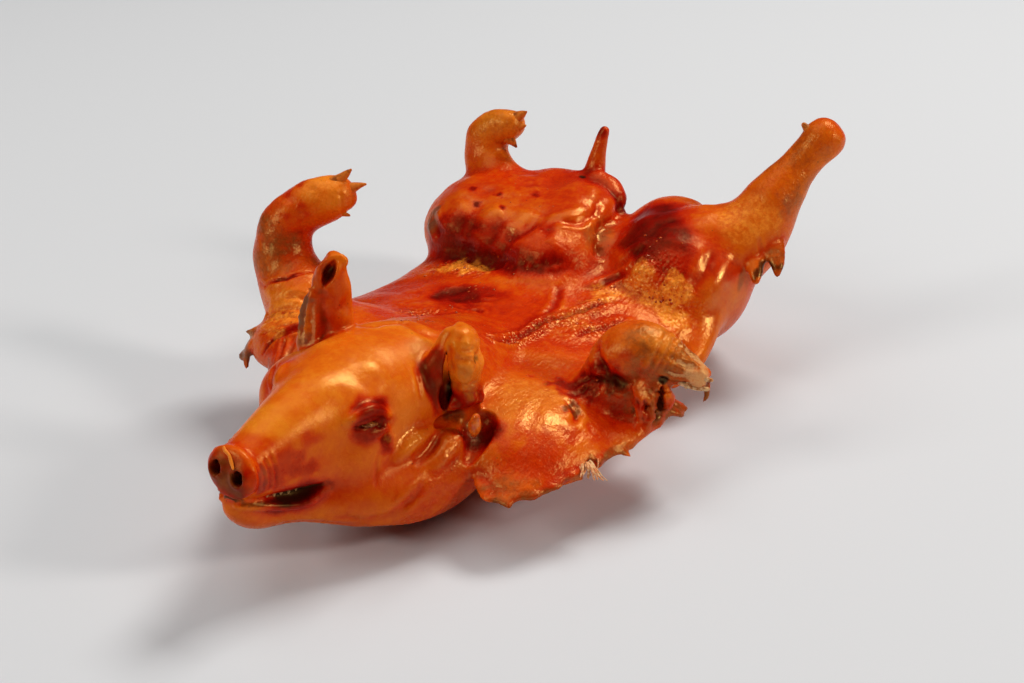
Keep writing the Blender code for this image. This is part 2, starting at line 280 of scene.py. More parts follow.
def hams(bm):
    ball(bm, (-98, 148, 80), (72, 74, 50), (1, -0.1, 0))
    ball(bm, (-66, 142, 84), (74, 74, 45))
    ball(bm, (-62, 180, 96), (50, 36, 36))
    ball(bm, (72, 143, 72), (63, 74, 58), (0.8, 0.3, 0.1))
    ball(bm, (52, 175, 92), (40, 40, 36))
    tube(bm, [(108, 138, 78, 24, 22), (116, 98, 60, 16, 15), (119, 64, 42, 14, 12),
              (113, 40, 30, 10, 9)])


def legs(bm):
    """Hind shanks and front legs as they stand off the carcass."""
    tube(bm, [(90, 150, 90, 46), (122, 166, 112, 33), (140, 185, 148, 22), (153, 201, 171, 16),
              (163, 211, 186, 18.5), (168, 215, 193, 17)], blunt=0.5)
    tube(bm, [(-112, 168, 100, 32), (-138, 184, 126, 21), (-142, 188, 144, 19),
              (-131, 190, 156, 18), (-119, 190, 160, 16), (-110, 190, 161, 13)], blunt=0.5)
    tube(bm, [(-145, -78, 78, 34), (-170, -66, 98, 27), (-180, -62, 118, 23.5),
              (-177, -56, 138, 21), (-166, -48, 150, 20), (-153, -38, 156, 19.5),
              (-143, -31, 160, 16), (-137, -27, 160, 13)], blunt=0.5)
    tube(bm, [(112, -62, 70, 26), (119, -60, 92, 24), (129, -56, 101, 23.5), (145, -52, 99, 19.5),
              (158, -49, 93, 14), (170, -46, 88, 10.5), (177, -44, 84, 9.5)], blunt=0.4)
    ball(bm, (132, -58, 72), (22, 20, 24), (0.3, 1, 0))


def skull(bm):
    """Skull and snout, then the cheeks and the jowls that spread to each side."""
    tube(bm, [(-25, 0, -22, 46, 32, 40), (5, 0, -16, 50, 38, 50), (40, 0, -12, 50, 42, 52),
              (70, 0, -10, 44, 41, 50), (95, 1, -10, 36, 39, 40), (120, 1, -8, 28, 35, 27),
              (145, 1, -6, 22, 26, 19), (163, 2, -4, 19, 18, 17),
              (HEAD_LENGTH - 3, 2, -3, SNOUT_HALF_WIDTH, SNOUT_HALF_HEIGHT)], place=head, blunt=0.2)
    for side in (1, -1):
        tube(bm, [(150, 6 * side, -40, 11, 10, 12), (125, 17 * side, -44, 17, 13, 15),
                  (95, 30 * side, -50, 25, 22, 22), (65, 44 * side, -54, 30, 28, 32),
                  (38, 52 * side, -54, 32, 30, 34), (10, 56 * side, -48, 32, 30, 32)], place=head)
        tube(bm, [(168, 8 * side, -12, 8), (154, 11 * side, -14, 10.5), (138, 15 * side, -16, 12.5),
                  (120, 20 * side, -18, 14), (104, 24 * side, -18, 15)], place=head)
        ball(bm, (72, 30 * side, -28), (42, 20, 32), place=head)
        ball(bm, (78, 27 * side, 9), (24, 13, 12), place=head)
    tube(bm, [(172, 1, -30, 10, 7, 8), (163, 1, -36, 15, 10, 13), (148, 0, -42, 18, 12, 18),
              (124, 0, -47, 22, 12, 18), (92, 0, -50, 25, 12, 19)], place=head)
    ball(bm, (66, -42, -10), (32, 18, 22), place=head)


masses = bmesh.new()
trunk(masses)
shoulders(masses)
hams(masses)
legs(masses)
skull(masses)
carcass = mesh_object("carcass", masses)
fuse(carcass, MASS_VOXEL, MASS_SMOOTHING)
round_off = carcass.modifiers.new("round off", "SUBSURF")
round_off.levels = 1
settle(carcass)


def nose_disc(bm):
    """The disc of the nose, tipped back a little, with a raised rim and a swelling round each
    nostril."""
    tube(bm, [(-8, 0, 0, SNOUT_HALF_WIDTH - 2.5, SNOUT_HALF_HEIGHT - 2),
              (-3, 0, 0, SNOUT_HALF_WIDTH + 1.5, SNOUT_HALF_HEIGHT + 2),
              (0, 0, 0, SNOUT_HALF_WIDTH + 1, SNOUT_HALF_HEIGHT + 1.5)], place=nose, blunt=0.22)
    for side in (1, -1):
        ball(bm, (2, 9 * side, 0.5), (4.5, 7.5, 8.5), place=nose)


def lips(bm):
    """Rounded rim of the lower lip on both sides of the mouth."""
    for side in (1, -1):
        tube(bm, [(173, 5 * side, -25, 4, 3), (160, 14 * side, -29, 4.6, 3.4),
                  (145, 21 * side, -34, 5, 3.8), (130, 28 * side, -35, 5, 3.8),
                  (118, 32 * side, -31, 3, 3)], place=head)


def eyelids(bm):
    """Swollen lids over the sunken eyes, shut to a slit."""
    for side in EYE_SIDES:
        ball(bm, (84, 32 * side, 6), (13, 9, 10), place=head)
        tube(bm, [(100, 30 * side, 8, 2), (94, 35 * side, 13, 3.6), (85, 38 * side, 14.5, 4.4),
                  (76, 40 * side, 11, 3.8), (69, 42 * side, 4, 2.2)], place=head)
        tube(bm, [(98, 32 * side, 3, 2.0), (90, 38 * side, -1.5, 3.2), (81, 42 * side, -4, 3.4),
                  (73, 44 * side, -3, 2.4)], place=head)


def cheek_folds(bm):
    """Two glossy folds of cheek skin below the left ear, pushed up by the jaw, and the fold
    that runs under the ear's foot."""
    tube(bm, [(22, -234, 60, 5, 4), (29, -218, 68, 9, 7), (33, -202, 73, 9, 8),
              (38, -188, 75, 5, 4)])
    tube(bm, [(42, -212, 52, 6, 4), (49, -197, 60, 9, 7), (52, -182, 66, 9, 8),
              (58, -168, 66, 5, 4)])
    tube(bm, [(30, -176, 88, 4), (38, -172, 88, 4.6), (47, -168, 88, 4.6), (56, -161, 90, 3.6)])


def rump_knob(bm):
    """The tail, and the swollen fold of skin beside its root."""
    tube(bm, [(-33, 190, 122, 13), (-33, 195, 140, 8), (-31, 199, 157, 5.6), (-29, 201, 166, 4.2)])
    tube(bm, [(-26, 184, 124, 13), (-12, 181, 121, 11), (-1, 172, 115, 9), (3, 160, 108, 7)])


def shoulder_rim(bm):
    """Ragged thin edge of the left shoulder's skin, from the neck to the elbow."""
    rim = finer([(76, -178, 48), (90, -190, 42), (102, -190, 42), (118, -176, 44),
                 (125, -158, 48), (129, -142, 49), (138, -120, 50), (144, -96, 49),
                 (149, -72, 53), (150, -46, 55), (140, -24, 55)], 8)
    torn = random.Random(4)
    for index, (x, y, z) in enumerate(rim):
        reach = 6 + 2 * math.sin(0.9 * index) + torn.uniform(-2.5, 2.0)
        ball(bm, (x - 3, y, z + torn.uniform(-1, 1)), (reach, torn.uniform(6, 9),
             torn.uniform(2.0, 2.8)), (x, y + 60, -14))
    for corner in ([(98, -188, 43, 9, 2.6), (103, -194, 41, 5, 2), (106, -197, 40, 2.4, 1.4)],
                   [(122, -152, 48, 8, 2.4), (130, -147, 45, 4, 1.8), (133, -145, 43, 1.8, 1.2)],
                   [(138, -106, 50, 8, 2.4), (146, -105, 47, 4, 1.8), (149, -104, 45, 1.8, 1.2)]):
        tube(bm, corner)


def elbow_meat(bm):
    """Meat torn loose under the left elbow, and the rib ends beside it."""
    for path in ([(140, -75, 86, 9, 3), (145, -77, 74, 8, 2.4), (148, -79, 62, 6, 2),
                  (149, -82, 54, 3, 1.4)],
                 [(150, -62, 84, 7, 3), (156, -62, 74, 6, 2.2), (158, -63, 66, 3, 1.6)],
                 [(140, -60, 70, 10, 6), (148, -56, 62, 9, 3.6), (156, -50, 57, 7, 2.4),
                  (161, -46, 53, 4, 1.6)],
                 [(144, -48, 60, 9, 5), (154, -42, 58, 7, 2.6), (161, -39, 55, 4, 1.6)],
                 [(176, -42, 82, 4), (178, -43, 74, 3), (176, -45, 68, 1.8)]):
        tube(bm, path)


def shoulder_rags(bm):
    """Rags of torn skin at the right shoulder and at the left knee."""
    tube(bm, [(-152, -110, 72, 13, 5), (-166, -116, 66, 13, 3.4), (-172, -119, 59, 12, 2.8),
              (-175, -121, 51, 9, 2.4), (-175, -123, 46, 4, 2)], blunt=0.3)
    tube(bm, [(-160, -108, 76, 8, 4), (-171, -112, 70, 5, 2.8), (-178, -114, 67, 2.2, 1.8)])
    tube(bm, [(-168, -122, 60, 4, 2.6), (-170, -126, 51, 3.5, 2), (-169, -128, 44, 2, 1.8)])
    tube(bm, [(142, 162, 116, 12, 9), (151, 150, 107, 9, 5), (157, 142, 101, 6, 3.5),
              (160, 136, 94, 2.6, 2)])
    tube(bm, [(138, 140, 102, 9, 6), (144, 130, 95, 6, 4), (147, 124, 90, 3.4, 2.6)])


forms = bmesh.new()
nose_disc(forms)
lips(forms)
eyelids(forms)
cheek_folds(forms)
rump_knob(forms)
shoulder_rim(forms)
elbow_meat(forms)
shoulder_rags(forms)
add_mesh(forms, carcass)


# ---- Ears -------------------------------------------------------------------------------
# Two thin leaves of skin and gristle, shrunk by the heat and rolled up on themselves.  They
# grow out of the head's skin, so they are fused into it.

EAR_THICKNESS = 3.2


def rolled_leaf(name, place, section, levels, crumple):
    """A rolled leaf of skin.  Its section is drawn once, seen from above, and repeated up the
    levels: height, size, shift across, shift outward, and how much the outer side drops."""
    outline = finer(section, 6)
    heights = finer(levels, 8)
    bm = bmesh.new()
    grid = []
    for height, size, across, outward, drop in heights:
        row = []
        for x, y in outline:
            spot = Vector((across + x * size, outward + y * size, height - drop * y / 12))
            lump = noise.noise(spot / 12) + 0.5 * noise.noise(spot / 5.5)
            spot += Vector((x, y, 0)).normalized() * lump * crumple
            row.append(bm.verts.new(spot))
        grid.append(row)
    for lower, upper in zip(grid, grid[1:]):
        for turn in range(len(outline) - 1):
            bm.faces.new((lower[turn], lower[turn + 1], upper[turn + 1], upper[turn]))
    bmesh.ops.transform(bm, matrix=place, verts=bm.verts)
    leaf = mesh_object(name, bm)
    thicken = leaf.modifiers.new("thickness", "SOLIDIFY")
    thicken.thickness = EAR_THICKNESS * MM
    thicken.offset = 0
    settle(leaf)
    return leaf


left_ear = Matrix.Translation((42, -160, 86)) @ Matrix.Rotation(math.radians(-150), 4, "Z")
left_front = [(6.5, 7), (8, 10), (14, 10), (20, 6), (22, -2), (18, -9), (10, -13)]
left_front_levels = [(-12, 0.9, 1, 0, 0), (4, 0.95, 1, 0, 0), (14, 1.0, 0, 0, 0),
                     (24, 1.0, 0, 0, 0), (36, 0.72, 0, 1, 0), (47, 0.42, 0, 0, 0),
                     (54, 0.14, 1, -1, 0)]
left_back = [(-1, -3), (0.5, 3), (-1, 8), (-6, 12), (-12, 11), (-16, 4), (-16, -5), (-11, -11),
             (-4, -11), (-1, -5)]
left_back_levels = [(-14, 0.9, 1, 0, 0), (0, 0.96, 0, 0, 0), (14, 1.05, 0, 0, 0),
                    (28, 1.12, 2, 1, 0), (38, 1.12, 3, 1, 0), (46, 0.98, 2, 1, 0),
                    (52, 0.7, 0, -1, 0), (55, 0.3, -1, -3, 0)]
add_mesh(forms, rolled_leaf("left_front_leaf", left_ear, left_front, left_front_levels, 1.6))
add_mesh(forms, rolled_leaf("left_back_leaf", left_ear, left_back, left_back_levels, 3.6))

right_ear = Matrix.Translation((-50, -174, 112)) @ Matrix.Rotation(math.radians(-150), 4, "Z")
right_outer = [(3, 5), (0, 9), (-6, 10), (-13, 5), (-15, -3), (-10, -10), (0, -12), (8, -8)]
right_outer_levels = [(-22, 1.5, -4, 0, 0), (-8, 1.2, -2, 0, 0), (4, 1.02, 0, 0, 0),
                      (18, 0.95, 0, 0, 0), (32, 0.9, 0, 0, 2), (44, 0.82, -1, 0, 5),
                      (54, 0.68, -2, 0, 7), (60, 0.46, -3, 0, 6), (64, 0.16, -3, 0, 4)]
right_inner = [(6, -9), (12, -6), (15, 0), (13, 6), (8, 8), (4, 5), (5, 1)]
right_inner_levels = [(-14, 0.9, 4, 2, 0), (-2, 0.95, 3.7, 2, 0), (8, 1.1, 3.2, 2, 0),
                      (20, 1.02, 1, 1, 0), (32, 0.9, 0.8, 0, 2), (42, 0.76, 0, 0, 4),
                      (52, 0.56, -1, 0, 5), (58, 0.34, -2, 0, 4)]
right_fold = [(14, 2), (17, 5), (15, 9), (10, 10), (7, 8)]
right_fold_levels = [(-6, 0.8, 5, 2, 0), (4, 1.0, 4, 2, 0), (16, 1.0, 1, 1, 0),
                     (28, 0.86, 0, 0, 0), (37, 0.7, 0, 0, 0)]
right_rims = [[(-9, 4, 62, 2), (-7.5, 6.5, 58, 2.5), (-3.5, 8, 52.5, 2.5), (0.5, 9, 47, 1.8)],
              [(-4, 2, 66, 1.8), (1.4, 2, 63, 2.1), (5, 3, 57.5, 2.1), (5, 5, 52, 1.9),
               (3.5, 7, 47.5, 1.4)],
              [(-4, 0, 66.5, 2), (-9, 0, 66, 2.6), (-13.5, 1, 63.5, 2.3), (-13, 2, 60, 1.4)],
              [(12, 6, 46, 1.4), (14.5, 8, 30, 1.5), (16.5, 9, 12, 1.6), (18.5, 9, 2, 1.5)],
              [(8, 9, 40, 1.4), (10, 11, 24, 1.6), (11, 12.5, 10, 1.7), (15, 12, -1, 1.4)]]
for rim in right_rims:
    tube(forms, rim, up=Vector((0, 1, 0)), place=right_ear)
add_mesh(forms, rolled_leaf("right_outer_leaf", right_ear, right_outer, right_outer_levels, 2.2))
add_mesh(forms, rolled_leaf("right_inner_leaf", right_ear, right_inner, right_inner_levels, 3.2))
add_mesh(forms, rolled_leaf("right_fold", right_ear, right_fold, right_fold_levels, 2.4))
skin = mesh_object("roast_skin", forms)
fuse(skin, SKIN_VOXEL, FORM_SMOOTHING)


# ---- Mouth, nostrils, ears and torn hollows ---------------------------------------------
# The openings of the head, the tear behind the jaw that opens the neck, and the pit beside
# the left elbow where the skin has split.

def cut_shapes(bm):
    for side in (1, -1):
        tube(bm, [(184, 4 * side, -20, 5, 1.0), (173, 11 * side, -21.5, 5, 1.4),
                  (161, 17 * side, -24, 6, 1.8), (150, 21 * side, -26.5, 7, 3.2),
                  (140, 25 * side, -28.5, 8, 4.6), (130, 29 * side, -28.5, 7, 3.8),
                  (121, 32 * side, -27, 4, 1.6)], place=head)
        tube(bm, [(10, 9.5 * side, 0.5, 4.6, 5.6), (3, 9 * side, 0.5, 4.4, 5.4),
                  (-6, 8 * side, 0, 4.2, 5), (-14, 7 * side, 0, 2.6, 3.4)], place=nose)
    ball(bm, (62, -164, 76), (13, 16, 13))
    tube(bm, [(32, -182, 74, 3, 1.6), (39, -178, 76, 6, 3.4), (47, -173, 78, 8, 5.5),
              (58, -165, 79, 10, 9), (66, -168, 72, 10, 10), (67, -186, 60, 5, 8)])
    tube(bm, [(4, 12, 46, 1.6, 7), (4.5, 10, 34, 2.2, 8), (5.5, 9, 20, 3.2, 9), (6.5, 8, 8, 4.2, 9),
              (7, 7, 0, 3, 6)], up=Vector((0, 1, 0)), place=left_ear)
    tube(bm, [(-5.5, 4, 64, 1.6, 8, 5), (-4, 5, 60, 3.4, 9, 7), (-1.5, 6, 55, 4.2, 9, 8),
              (1, 7, 50, 3, 9, 6), (2.5, 8, 46, 1.2, 8, 3)], up=Vector((0, 1, 0)), place=right_ear)
    ball(bm, (129, -134, 44), (13, 9, 8))
    for spot, wide, high in (((152, -65, 75), 4, 8), ((146, -76, 70), 3, 4)):
        ball(bm, spot, (10, wide, high), (-0.45, 0.78, -0.4))
    ball(bm, (183, -43, 84), (7, 4, 4), (1, 0.2, -0.3))


cutter_form = bmesh.new()
cut_shapes(cutter_form)
cutter = mesh_object("cutter", cutter_form)
fuse(cutter, HOLLOW_VOXEL, CUT_SMOOTHING)
carving = skin.modifiers.new("hollows", "BOOLEAN")
carving.operation = "DIFFERENCE"
carving.solver = "EXACT"
carving.object = cutter
settle(skin)
bpy.data.objects.remove(cutter)
fuse(skin, SKIN_VOXEL, CUT_SMOOTHING)


# ---- Folds, dents and blisters ----------------------------------------------------------
# What the oven does to the skin: it draws tight over bone, sinks into hollows, folds at the
# joints and blisters where fat boiled under it.  Each is pressed or raised along the skin.

def smooth_noise(points, size, seed):
    """Smooth lumps of about the given size, from -1 to 1."""
    lattice = np.random.default_rng(seed).uniform(-1, 1, (32, 32, 32))
    cells = points / size
    base = np.floor(cells).astype(int)
    step = cells - base
    step = step * step * (3 - 2 * step)
    total = np.zeros(len(points))
    for corner in np.ndindex(2, 2, 2):
        index = (base + corner) % 32
        weight = np.where(np.array(corner) == 1, step, 1 - step).prod(axis=1)
        total += weight * lattice[index[:, 0], index[:, 1], index[:, 2]]
    return total


def read_points(mesh, what="co"):
    values = np.empty(len(mesh.vertices) * 3, np.float32)
    mesh.vertices.foreach_get(what, values)
    return values.reshape(-1, 3).astype(float)


class Surface:
    """The skin's points in millimetres, and how far each lies from a place or a path."""

    def __init__(self, mesh):
        self.mesh = mesh
        self.spots = read_points(mesh) / MM
        self.facing = read_points(mesh, "normal")
        corners = [polygon.vertices for polygon in mesh.polygons]
        self.tree = BVHTree.FromPolygons([tuple(spot) for spot in self.spots], corners)

    def snap(self, point):
        return np.array(self.tree.find_nearest(Vector(point))[0])

    def window(self, low, high):
        inside = np.all((self.spots > low) & (self.spots < high), axis=1)
        return np.nonzero(inside)[0]

    def near(self, centre, radii, stray=0.25, seed=1):
        """Points close to a ball: their numbers, and their reach from 0 at its centre to 1 at
        its rim, which wanders by the stray amount."""
        radii = np.broadcast_to(np.array(radii, float), 3)
        centre = np.array(centre, float)
        chosen = self.window(centre - 2.2 * radii, centre + 2.2 * radii)
        reach = np.linalg.norm((self.spots[chosen] - centre) / radii, axis=1)
        reach += stray * smooth_noise(self.spots[chosen], max(4.0, radii.min() * 0.6), seed)
        return chosen, reach

    def beside(self, path, width, stray=0.3, seed=1):
        """Points close to a path that is laid on the skin: their numbers, their distance in
        widths, and how far along the path they lie, from 0 to 1."""
        laid = np.array([self.snap(spot) for spot in finer(path, 10)])
        chosen = self.window(laid.min(axis=0) - 3.5 * width, laid.max(axis=0) + 3.5 * width)
        gaps = np.linalg.norm(self.spots[chosen][:, None] - laid[None], axis=2)
        closest = gaps.argmin(axis=1)
        reach = gaps.min(axis=1) / width
        reach += stray * smooth_noise(self.spots[chosen], max(3.0, width * 1.5), seed)
        return chosen, np.maximum(reach, 0), closest / (len(laid) - 1)


def bell(reach):
    return np.exp(-reach ** 2)


def fade(share):
    """Strength along a path: full in the middle and gone at both ends."""
    return np.clip(np.sin(np.pi * np.clip(share, 0.02, 0.98)) * 1.6, 0, 1)


sculpt = Surface(skin.data)
push = np.zeros(len(sculpt.spots))

LONG_FOLD = [(20, -74, 84), (24, -60, 84), (24, -40, 80), (25, -20, 79), (27, -1, 77),
             (34, 5, 78), (39, 21, 78), (44, 36, 77), (49, 48, 78), (60, 58, 78)]
SECOND_FOLD = [(56, -16, 76), (60, 4, 76), (70, 22, 75), (74, 44, 75)]
CROSS_FOLD = [(23, -4, 79), (20, 20, 79), (14, 39, 79), (6, 57, 80)]
HAM_FOLD = [(28, 57, 82), (36, 69, 83), (43, 80, 87), (56, 81, 95)]
NECK_FOLD = [(-134, -133, 79), (-127, -130, 86), (-121, -126, 91), (-116, -118, 92)]


def crease(path, width, depth, lip=0.35, seed=1):
    """A fold pressed into the skin, with raised lips on each side."""
    chosen, reach, share = sculpt.beside(path, width, seed=seed)
    profile = bell(reach) - lip * bell((reach - 1.9) / 0.8)
    uneven = 1 + 0.3 * smooth_noise(sculpt.spots[chosen], 6, seed + 7)
    push[chosen] -= depth * profile * fade(share) * uneven


def ridge(path, width, height, seed=1):
    chosen, reach, share = sculpt.beside(path, width, stray=0.15, seed=seed)
    push[chosen] += height * bell(reach) * fade(share)


def dent(centre, radii, depth, seed=1):
    chosen, reach = sculpt.near(centre, radii, 0.12, seed)
    push[chosen] -= depth * bell(reach * 1.1)


def blister(centre, radii, size, height, seed=1):
    """Boiled skin: close-set bubbles of about the given size inside a ball."""
    chosen, reach = sculpt.near(centre, radii, 0.3, seed)
    bubbles = np.abs(smooth_noise(sculpt.spots[chosen], size, seed + 3))
    bubbles += 0.6 * np.abs(smooth_noise(sculpt.spots[chosen], size * 0.55, seed + 4))
    push[chosen] += height * bubbles * np.clip(1.6 - 1.5 * reach, 0, 1)


def each(work, rows):
    """Does one kind of work on the skin for each row of its sizes."""
    for row in rows:
        work(*row)


def local(*points):
    """Head space, x along the snout, y to the pig's left and z to its forehead, to the table's."""
    return [tuple(head @ Vector(point)) for point in points]


def press_face():
    each(dent, (
        (local((96, 3, 28))[0], (26, 12, 14), -1.6, 62), ((60, -160, 123), 6, 4, 64)))
    each(crease, (
        (local((174, -12, -22), (179, -3, -20), (179, 6, -20), (174, 14, -22)), 1.5, 3.5, 0.3),
        ([(29, -232, 80), (29, -236, 74), (30, -238, 67), (32, -243, 56)], 1.2, 0.6, 0),
        ([(40, -214, 60), (44, -200, 66), (47, -186, 68)], 4, 2, 0.2),
        ([(23, -182, 117), (29, -186, 109), (35, -191, 98)], 1.8, 0.9, 0.6),
        ([(46, -172, 136), (45, -174, 124), (48, -174, 112)], 2, 2, 0.5, 66),
        ([(52, -170, 134), (58, -168, 130), (63, -162, 132)], 2, 2, 0.5, 67),
        ([(-58, -184, 158), (-60, -188, 144), (-60, -190, 130), (-58, -192, 118)], 1.8, 1.8, 0.8, 68),
        ([(-64, -182, 146), (-66, -186, 132), (-64, -190, 118)], 1.6, 1.4, 0.8, 69),
        ([(-32, -180, 151), (-30, -169, 142), (-13, -144, 125), (5, -146, 124), (19, -142, 118)],
          5, 2.2, 0.3),
        ([(14, -269, 44), (26, -253, 36), (39, -239, 36), (48, -227, 44), (54, -212, 53)], 3.5, 1.6),
        ([(-14, -292, 44), (2, -280, 38), (16, -262, 32), (30, -244, 29)], 3, 1.2)))
    blister((53, -166, 118), (20, 16, 24), 11, 3.4, seed=63)
    for side in (1, -1):
        dent(local((60, 30 * side, 30))[0], (24, 12, 14), -2.6, seed=side + 60)
        dent(local((84, 26 * side, 26))[0], (10, 8, 8), -1.0, seed=side + 61)
    for side in (1, -1):
        crease(local((98, 34 * side, 5), (91, 39 * side, 5), (82, 43 * side, 4), (74, 46 * side, 1)),
               1.4, 2.4, 0.2)
        crease(local((78, 46 * side, -8), (72, 48 * side, -14)), 2.4, 1.0)
    for index, (x, y, z, size, depth) in enumerate((
            (54, -173, 128, 5, 2.6), (50, -175, 118, 4, 2.0), (57, -172, 112, 5, 2.4),
            (49, -173, 106, 4, 2.2), (61, -166, 108, 5, 2.6), (62, -164, 134, 4, 2.0),
            (54, -176, 121, 3, -1.6), (60, -170, 128, 5, -2.4), (56, -174, 104, 4, -1.8))):
        dent((x, y, z), size, depth, seed=140 + index)
    for shift in (0, 4, 8.5, 13):
        crease(local((168 - shift, 14, 10), (167 - shift, 19, 2), (166 - shift, 18, -9),
                     (165 - shift, 13, -16)), 1.3, 0.7, 0.5, seed=int(shift))
        crease(local((168 - shift, -10, 10), (167 - shift, -15, 2), (165 - shift, -14, -9)),
               1.3, 0.7, 0.5, seed=int(shift) + 20)


def press_shoulders():
    each(crease, (
        ([(-186, -84, 97), (-172, -94, 99), (-167, -93, 102), (-154, -91, 107), (-146, -84, 110),
          (-136, -66, 110)], 1.6, 1),
        ([(-166, -104, 84), (-160, -108, 84), (-150, -110, 90), (-138, -109, 95), (-118, -104, 99)],
          1.4, 1.4),
        ([(-160, -117, 78), (-150, -117, 84), (-139, -116, 92), (-114, -114, 99)], 1.3, 1.1, 0.35, 3),
        ([(-152, -128, 74), (-145, -127, 80), (-134, -124, 88), (-116, -120, 96)], 1.4, 1.2, 0.35, 4),
        (NECK_FOLD, 2.4, 3.4, 0.35, 5),
        ([(-144, -139, 64), (-138, -137, 74), (-131, -132, 83), (-116, -128, 92)], 1.4, 1.4, 0.35, 6),
        ([(-150, -100, 95), (-135, -101, 102), (-118, -104, 104)], 2.4, 1.8, 0.35, 7),
        ([(95, -104, 75), (103, -106, 73), (111, -112, 70), (112, -126, 69)], 3, 1.5, 0.35, 8),
        ([(106, -62, 106), (109, -70, 98), (116, -77, 91), (126, -80, 86), (138, -78, 84)],
          4, 4.5, 0.3, 80)))
    each(dent, (
        ((110, -78, 88), (16, 10, 12), 5), ((122, -76, 84), (13, 9, 14), 6),
        ((152, -66, 86), (4, 5, 4), 2.5), ((173, -50, 88), (4, 3, 3), 2.2),
        ((166, -55, 86), (4, 3, 3), 1.6)))
    each(blister, (
        ((-152, -36, 158), (28, 22, 20), 9, 2, 81), ((-176, -60, 128), (20, 20, 34), 12, 1.6, 82),
        ((134, -62, 104), (26, 20, 16), 9, 1.8, 83), ((170, -48, 88), (12, 10, 10), 3.5, 1.8, 58),
        ((150, -68, 68), (18, 20, 18), 4.5, 2.8, 59)))
    for index, (x, y) in enumerate(((88, -72), (90, -84), (98, -94), (108, -98), (118, -100),
                                    (128, -98))):
        crease([(x, y, 82), (0.5 * (x + 118), 0.5 * (y - 78), 82), (116, -78, 86)], 2.4, 2.0,
               seed=9 + index)
    for index, (y, z) in enumerate(((-62, 98), (-60, 106), (-52, 110), (-44, 106))):
        crease([(150, y, z), (160, y + 3, z - 6), (172, 0.3 * y - 30, 0.3 * z + 60)], 1.8, 1.3, 0.6,
               seed=50 + index)
    for index, x in enumerate((143, 151, 157)):
        crease([(x, -74, 92), (x + 2, -66, 104), (x + 2, -54, 110), (x, -44, 108)], 1.6, 0.9, 0.6,
               seed=54 + index)
    for index, (y, lean) in enumerate(((-84, 3), (-78, 0), (-72, -2), (-64, 2))):
        crease([(140, y, 80), (147 + lean, y - 1, 70), (149, y, 60)], 1.6, 1.4, 0.6, seed=210 + index)
    for index, shift in enumerate((0, 9, 18)):
        crease([(-126 + shift, -122 - 0.5 * shift, 84), (-122 + shift, -140 - 0.5 * shift, 78),
                (-112 + shift, -158 - 0.4 * shift, 70)], 1.8, 1.2, 0.5, seed=220 + index)
    for index, (x, y) in enumerate(((84, -150), (100, -146), (115, -138))):
        ridge([(x - 6, y + 30, 74), (x, y, 66), (x + 4, y - 22, 56)], 7, 0.8, seed=30 + index)


def press_back():
    each(dent, (
        ((-52, 6, 80), (24, 15, 12), 3.4, 5), ((-36, -10, 80), (16, 9, 12), 1.6, 6),
        ((-26, 18, 80), (14, 10, 12), 1.2, 7), ((67, 80, 96), (16, 12, 16), -4.5)))
    each(crease, (
        ([(-74, -10, 78), (-74, 4, 78), (-66, 14, 79), (-52, 20, 79)], 5, 1.2, 0.3, 11),
        ([(-58, -8, 79), (-44, -14, 80), (-30, -12, 80), (-22, -18, 80)], 2.4, 1, 1, 35),
        ([(-50, 12, 79), (-38, 6, 80), (-26, 8, 80)], 3, 0.7, 1, 36),
        (LONG_FOLD, 3, 1.7, 0.8, 12),
        ([(10, -84, 84), (20, -74, 84), (28, -52, 82)], 2.4, 2, 0.5, 37),
        (CROSS_FOLD, 3, 0.9, 0.8, 38),
        (SECOND_FOLD, 2.6, 1.3, 0.7, 15),
        (HAM_FOLD, 3.4, 1.5, 0.7, 16),
        ([(40, 84, 96), (52, 92, 104), (66, 96, 110)], 4, 1.2, 0.7, 17),
        ([(-124, 81, 86), (-99, 74, 85), (-77, 69, 84), (-55, 66, 84), (-32, 62, 88), (-14, 62, 90),
          (2, 68, 92), (12, 82, 95)], 8, 3.8, 0.2, 21)))
    ridge([(60, 22, 75), (70, 34, 75), (84, 42, 74)], 5, 1.8, seed=84)
    each(blister, (
        ((-88, 56, 78), (28, 18, 14), 5, 2.2, 18), ((40, 10, 78), (26, 44, 12), 7, 1.3, 19),
        ((-52, -30, 79), (40, 16, 10), 5, 1.2, 20)))
    chosen, reach = sculpt.beside(LONG_FOLD, 8, seed=13)[:2]
    bubbles = np.abs(smooth_noise(sculpt.spots[chosen], 4.5, 14))
    push[chosen] += 1.8 * bubbles * np.clip(1.3 - reach, 0, 1)


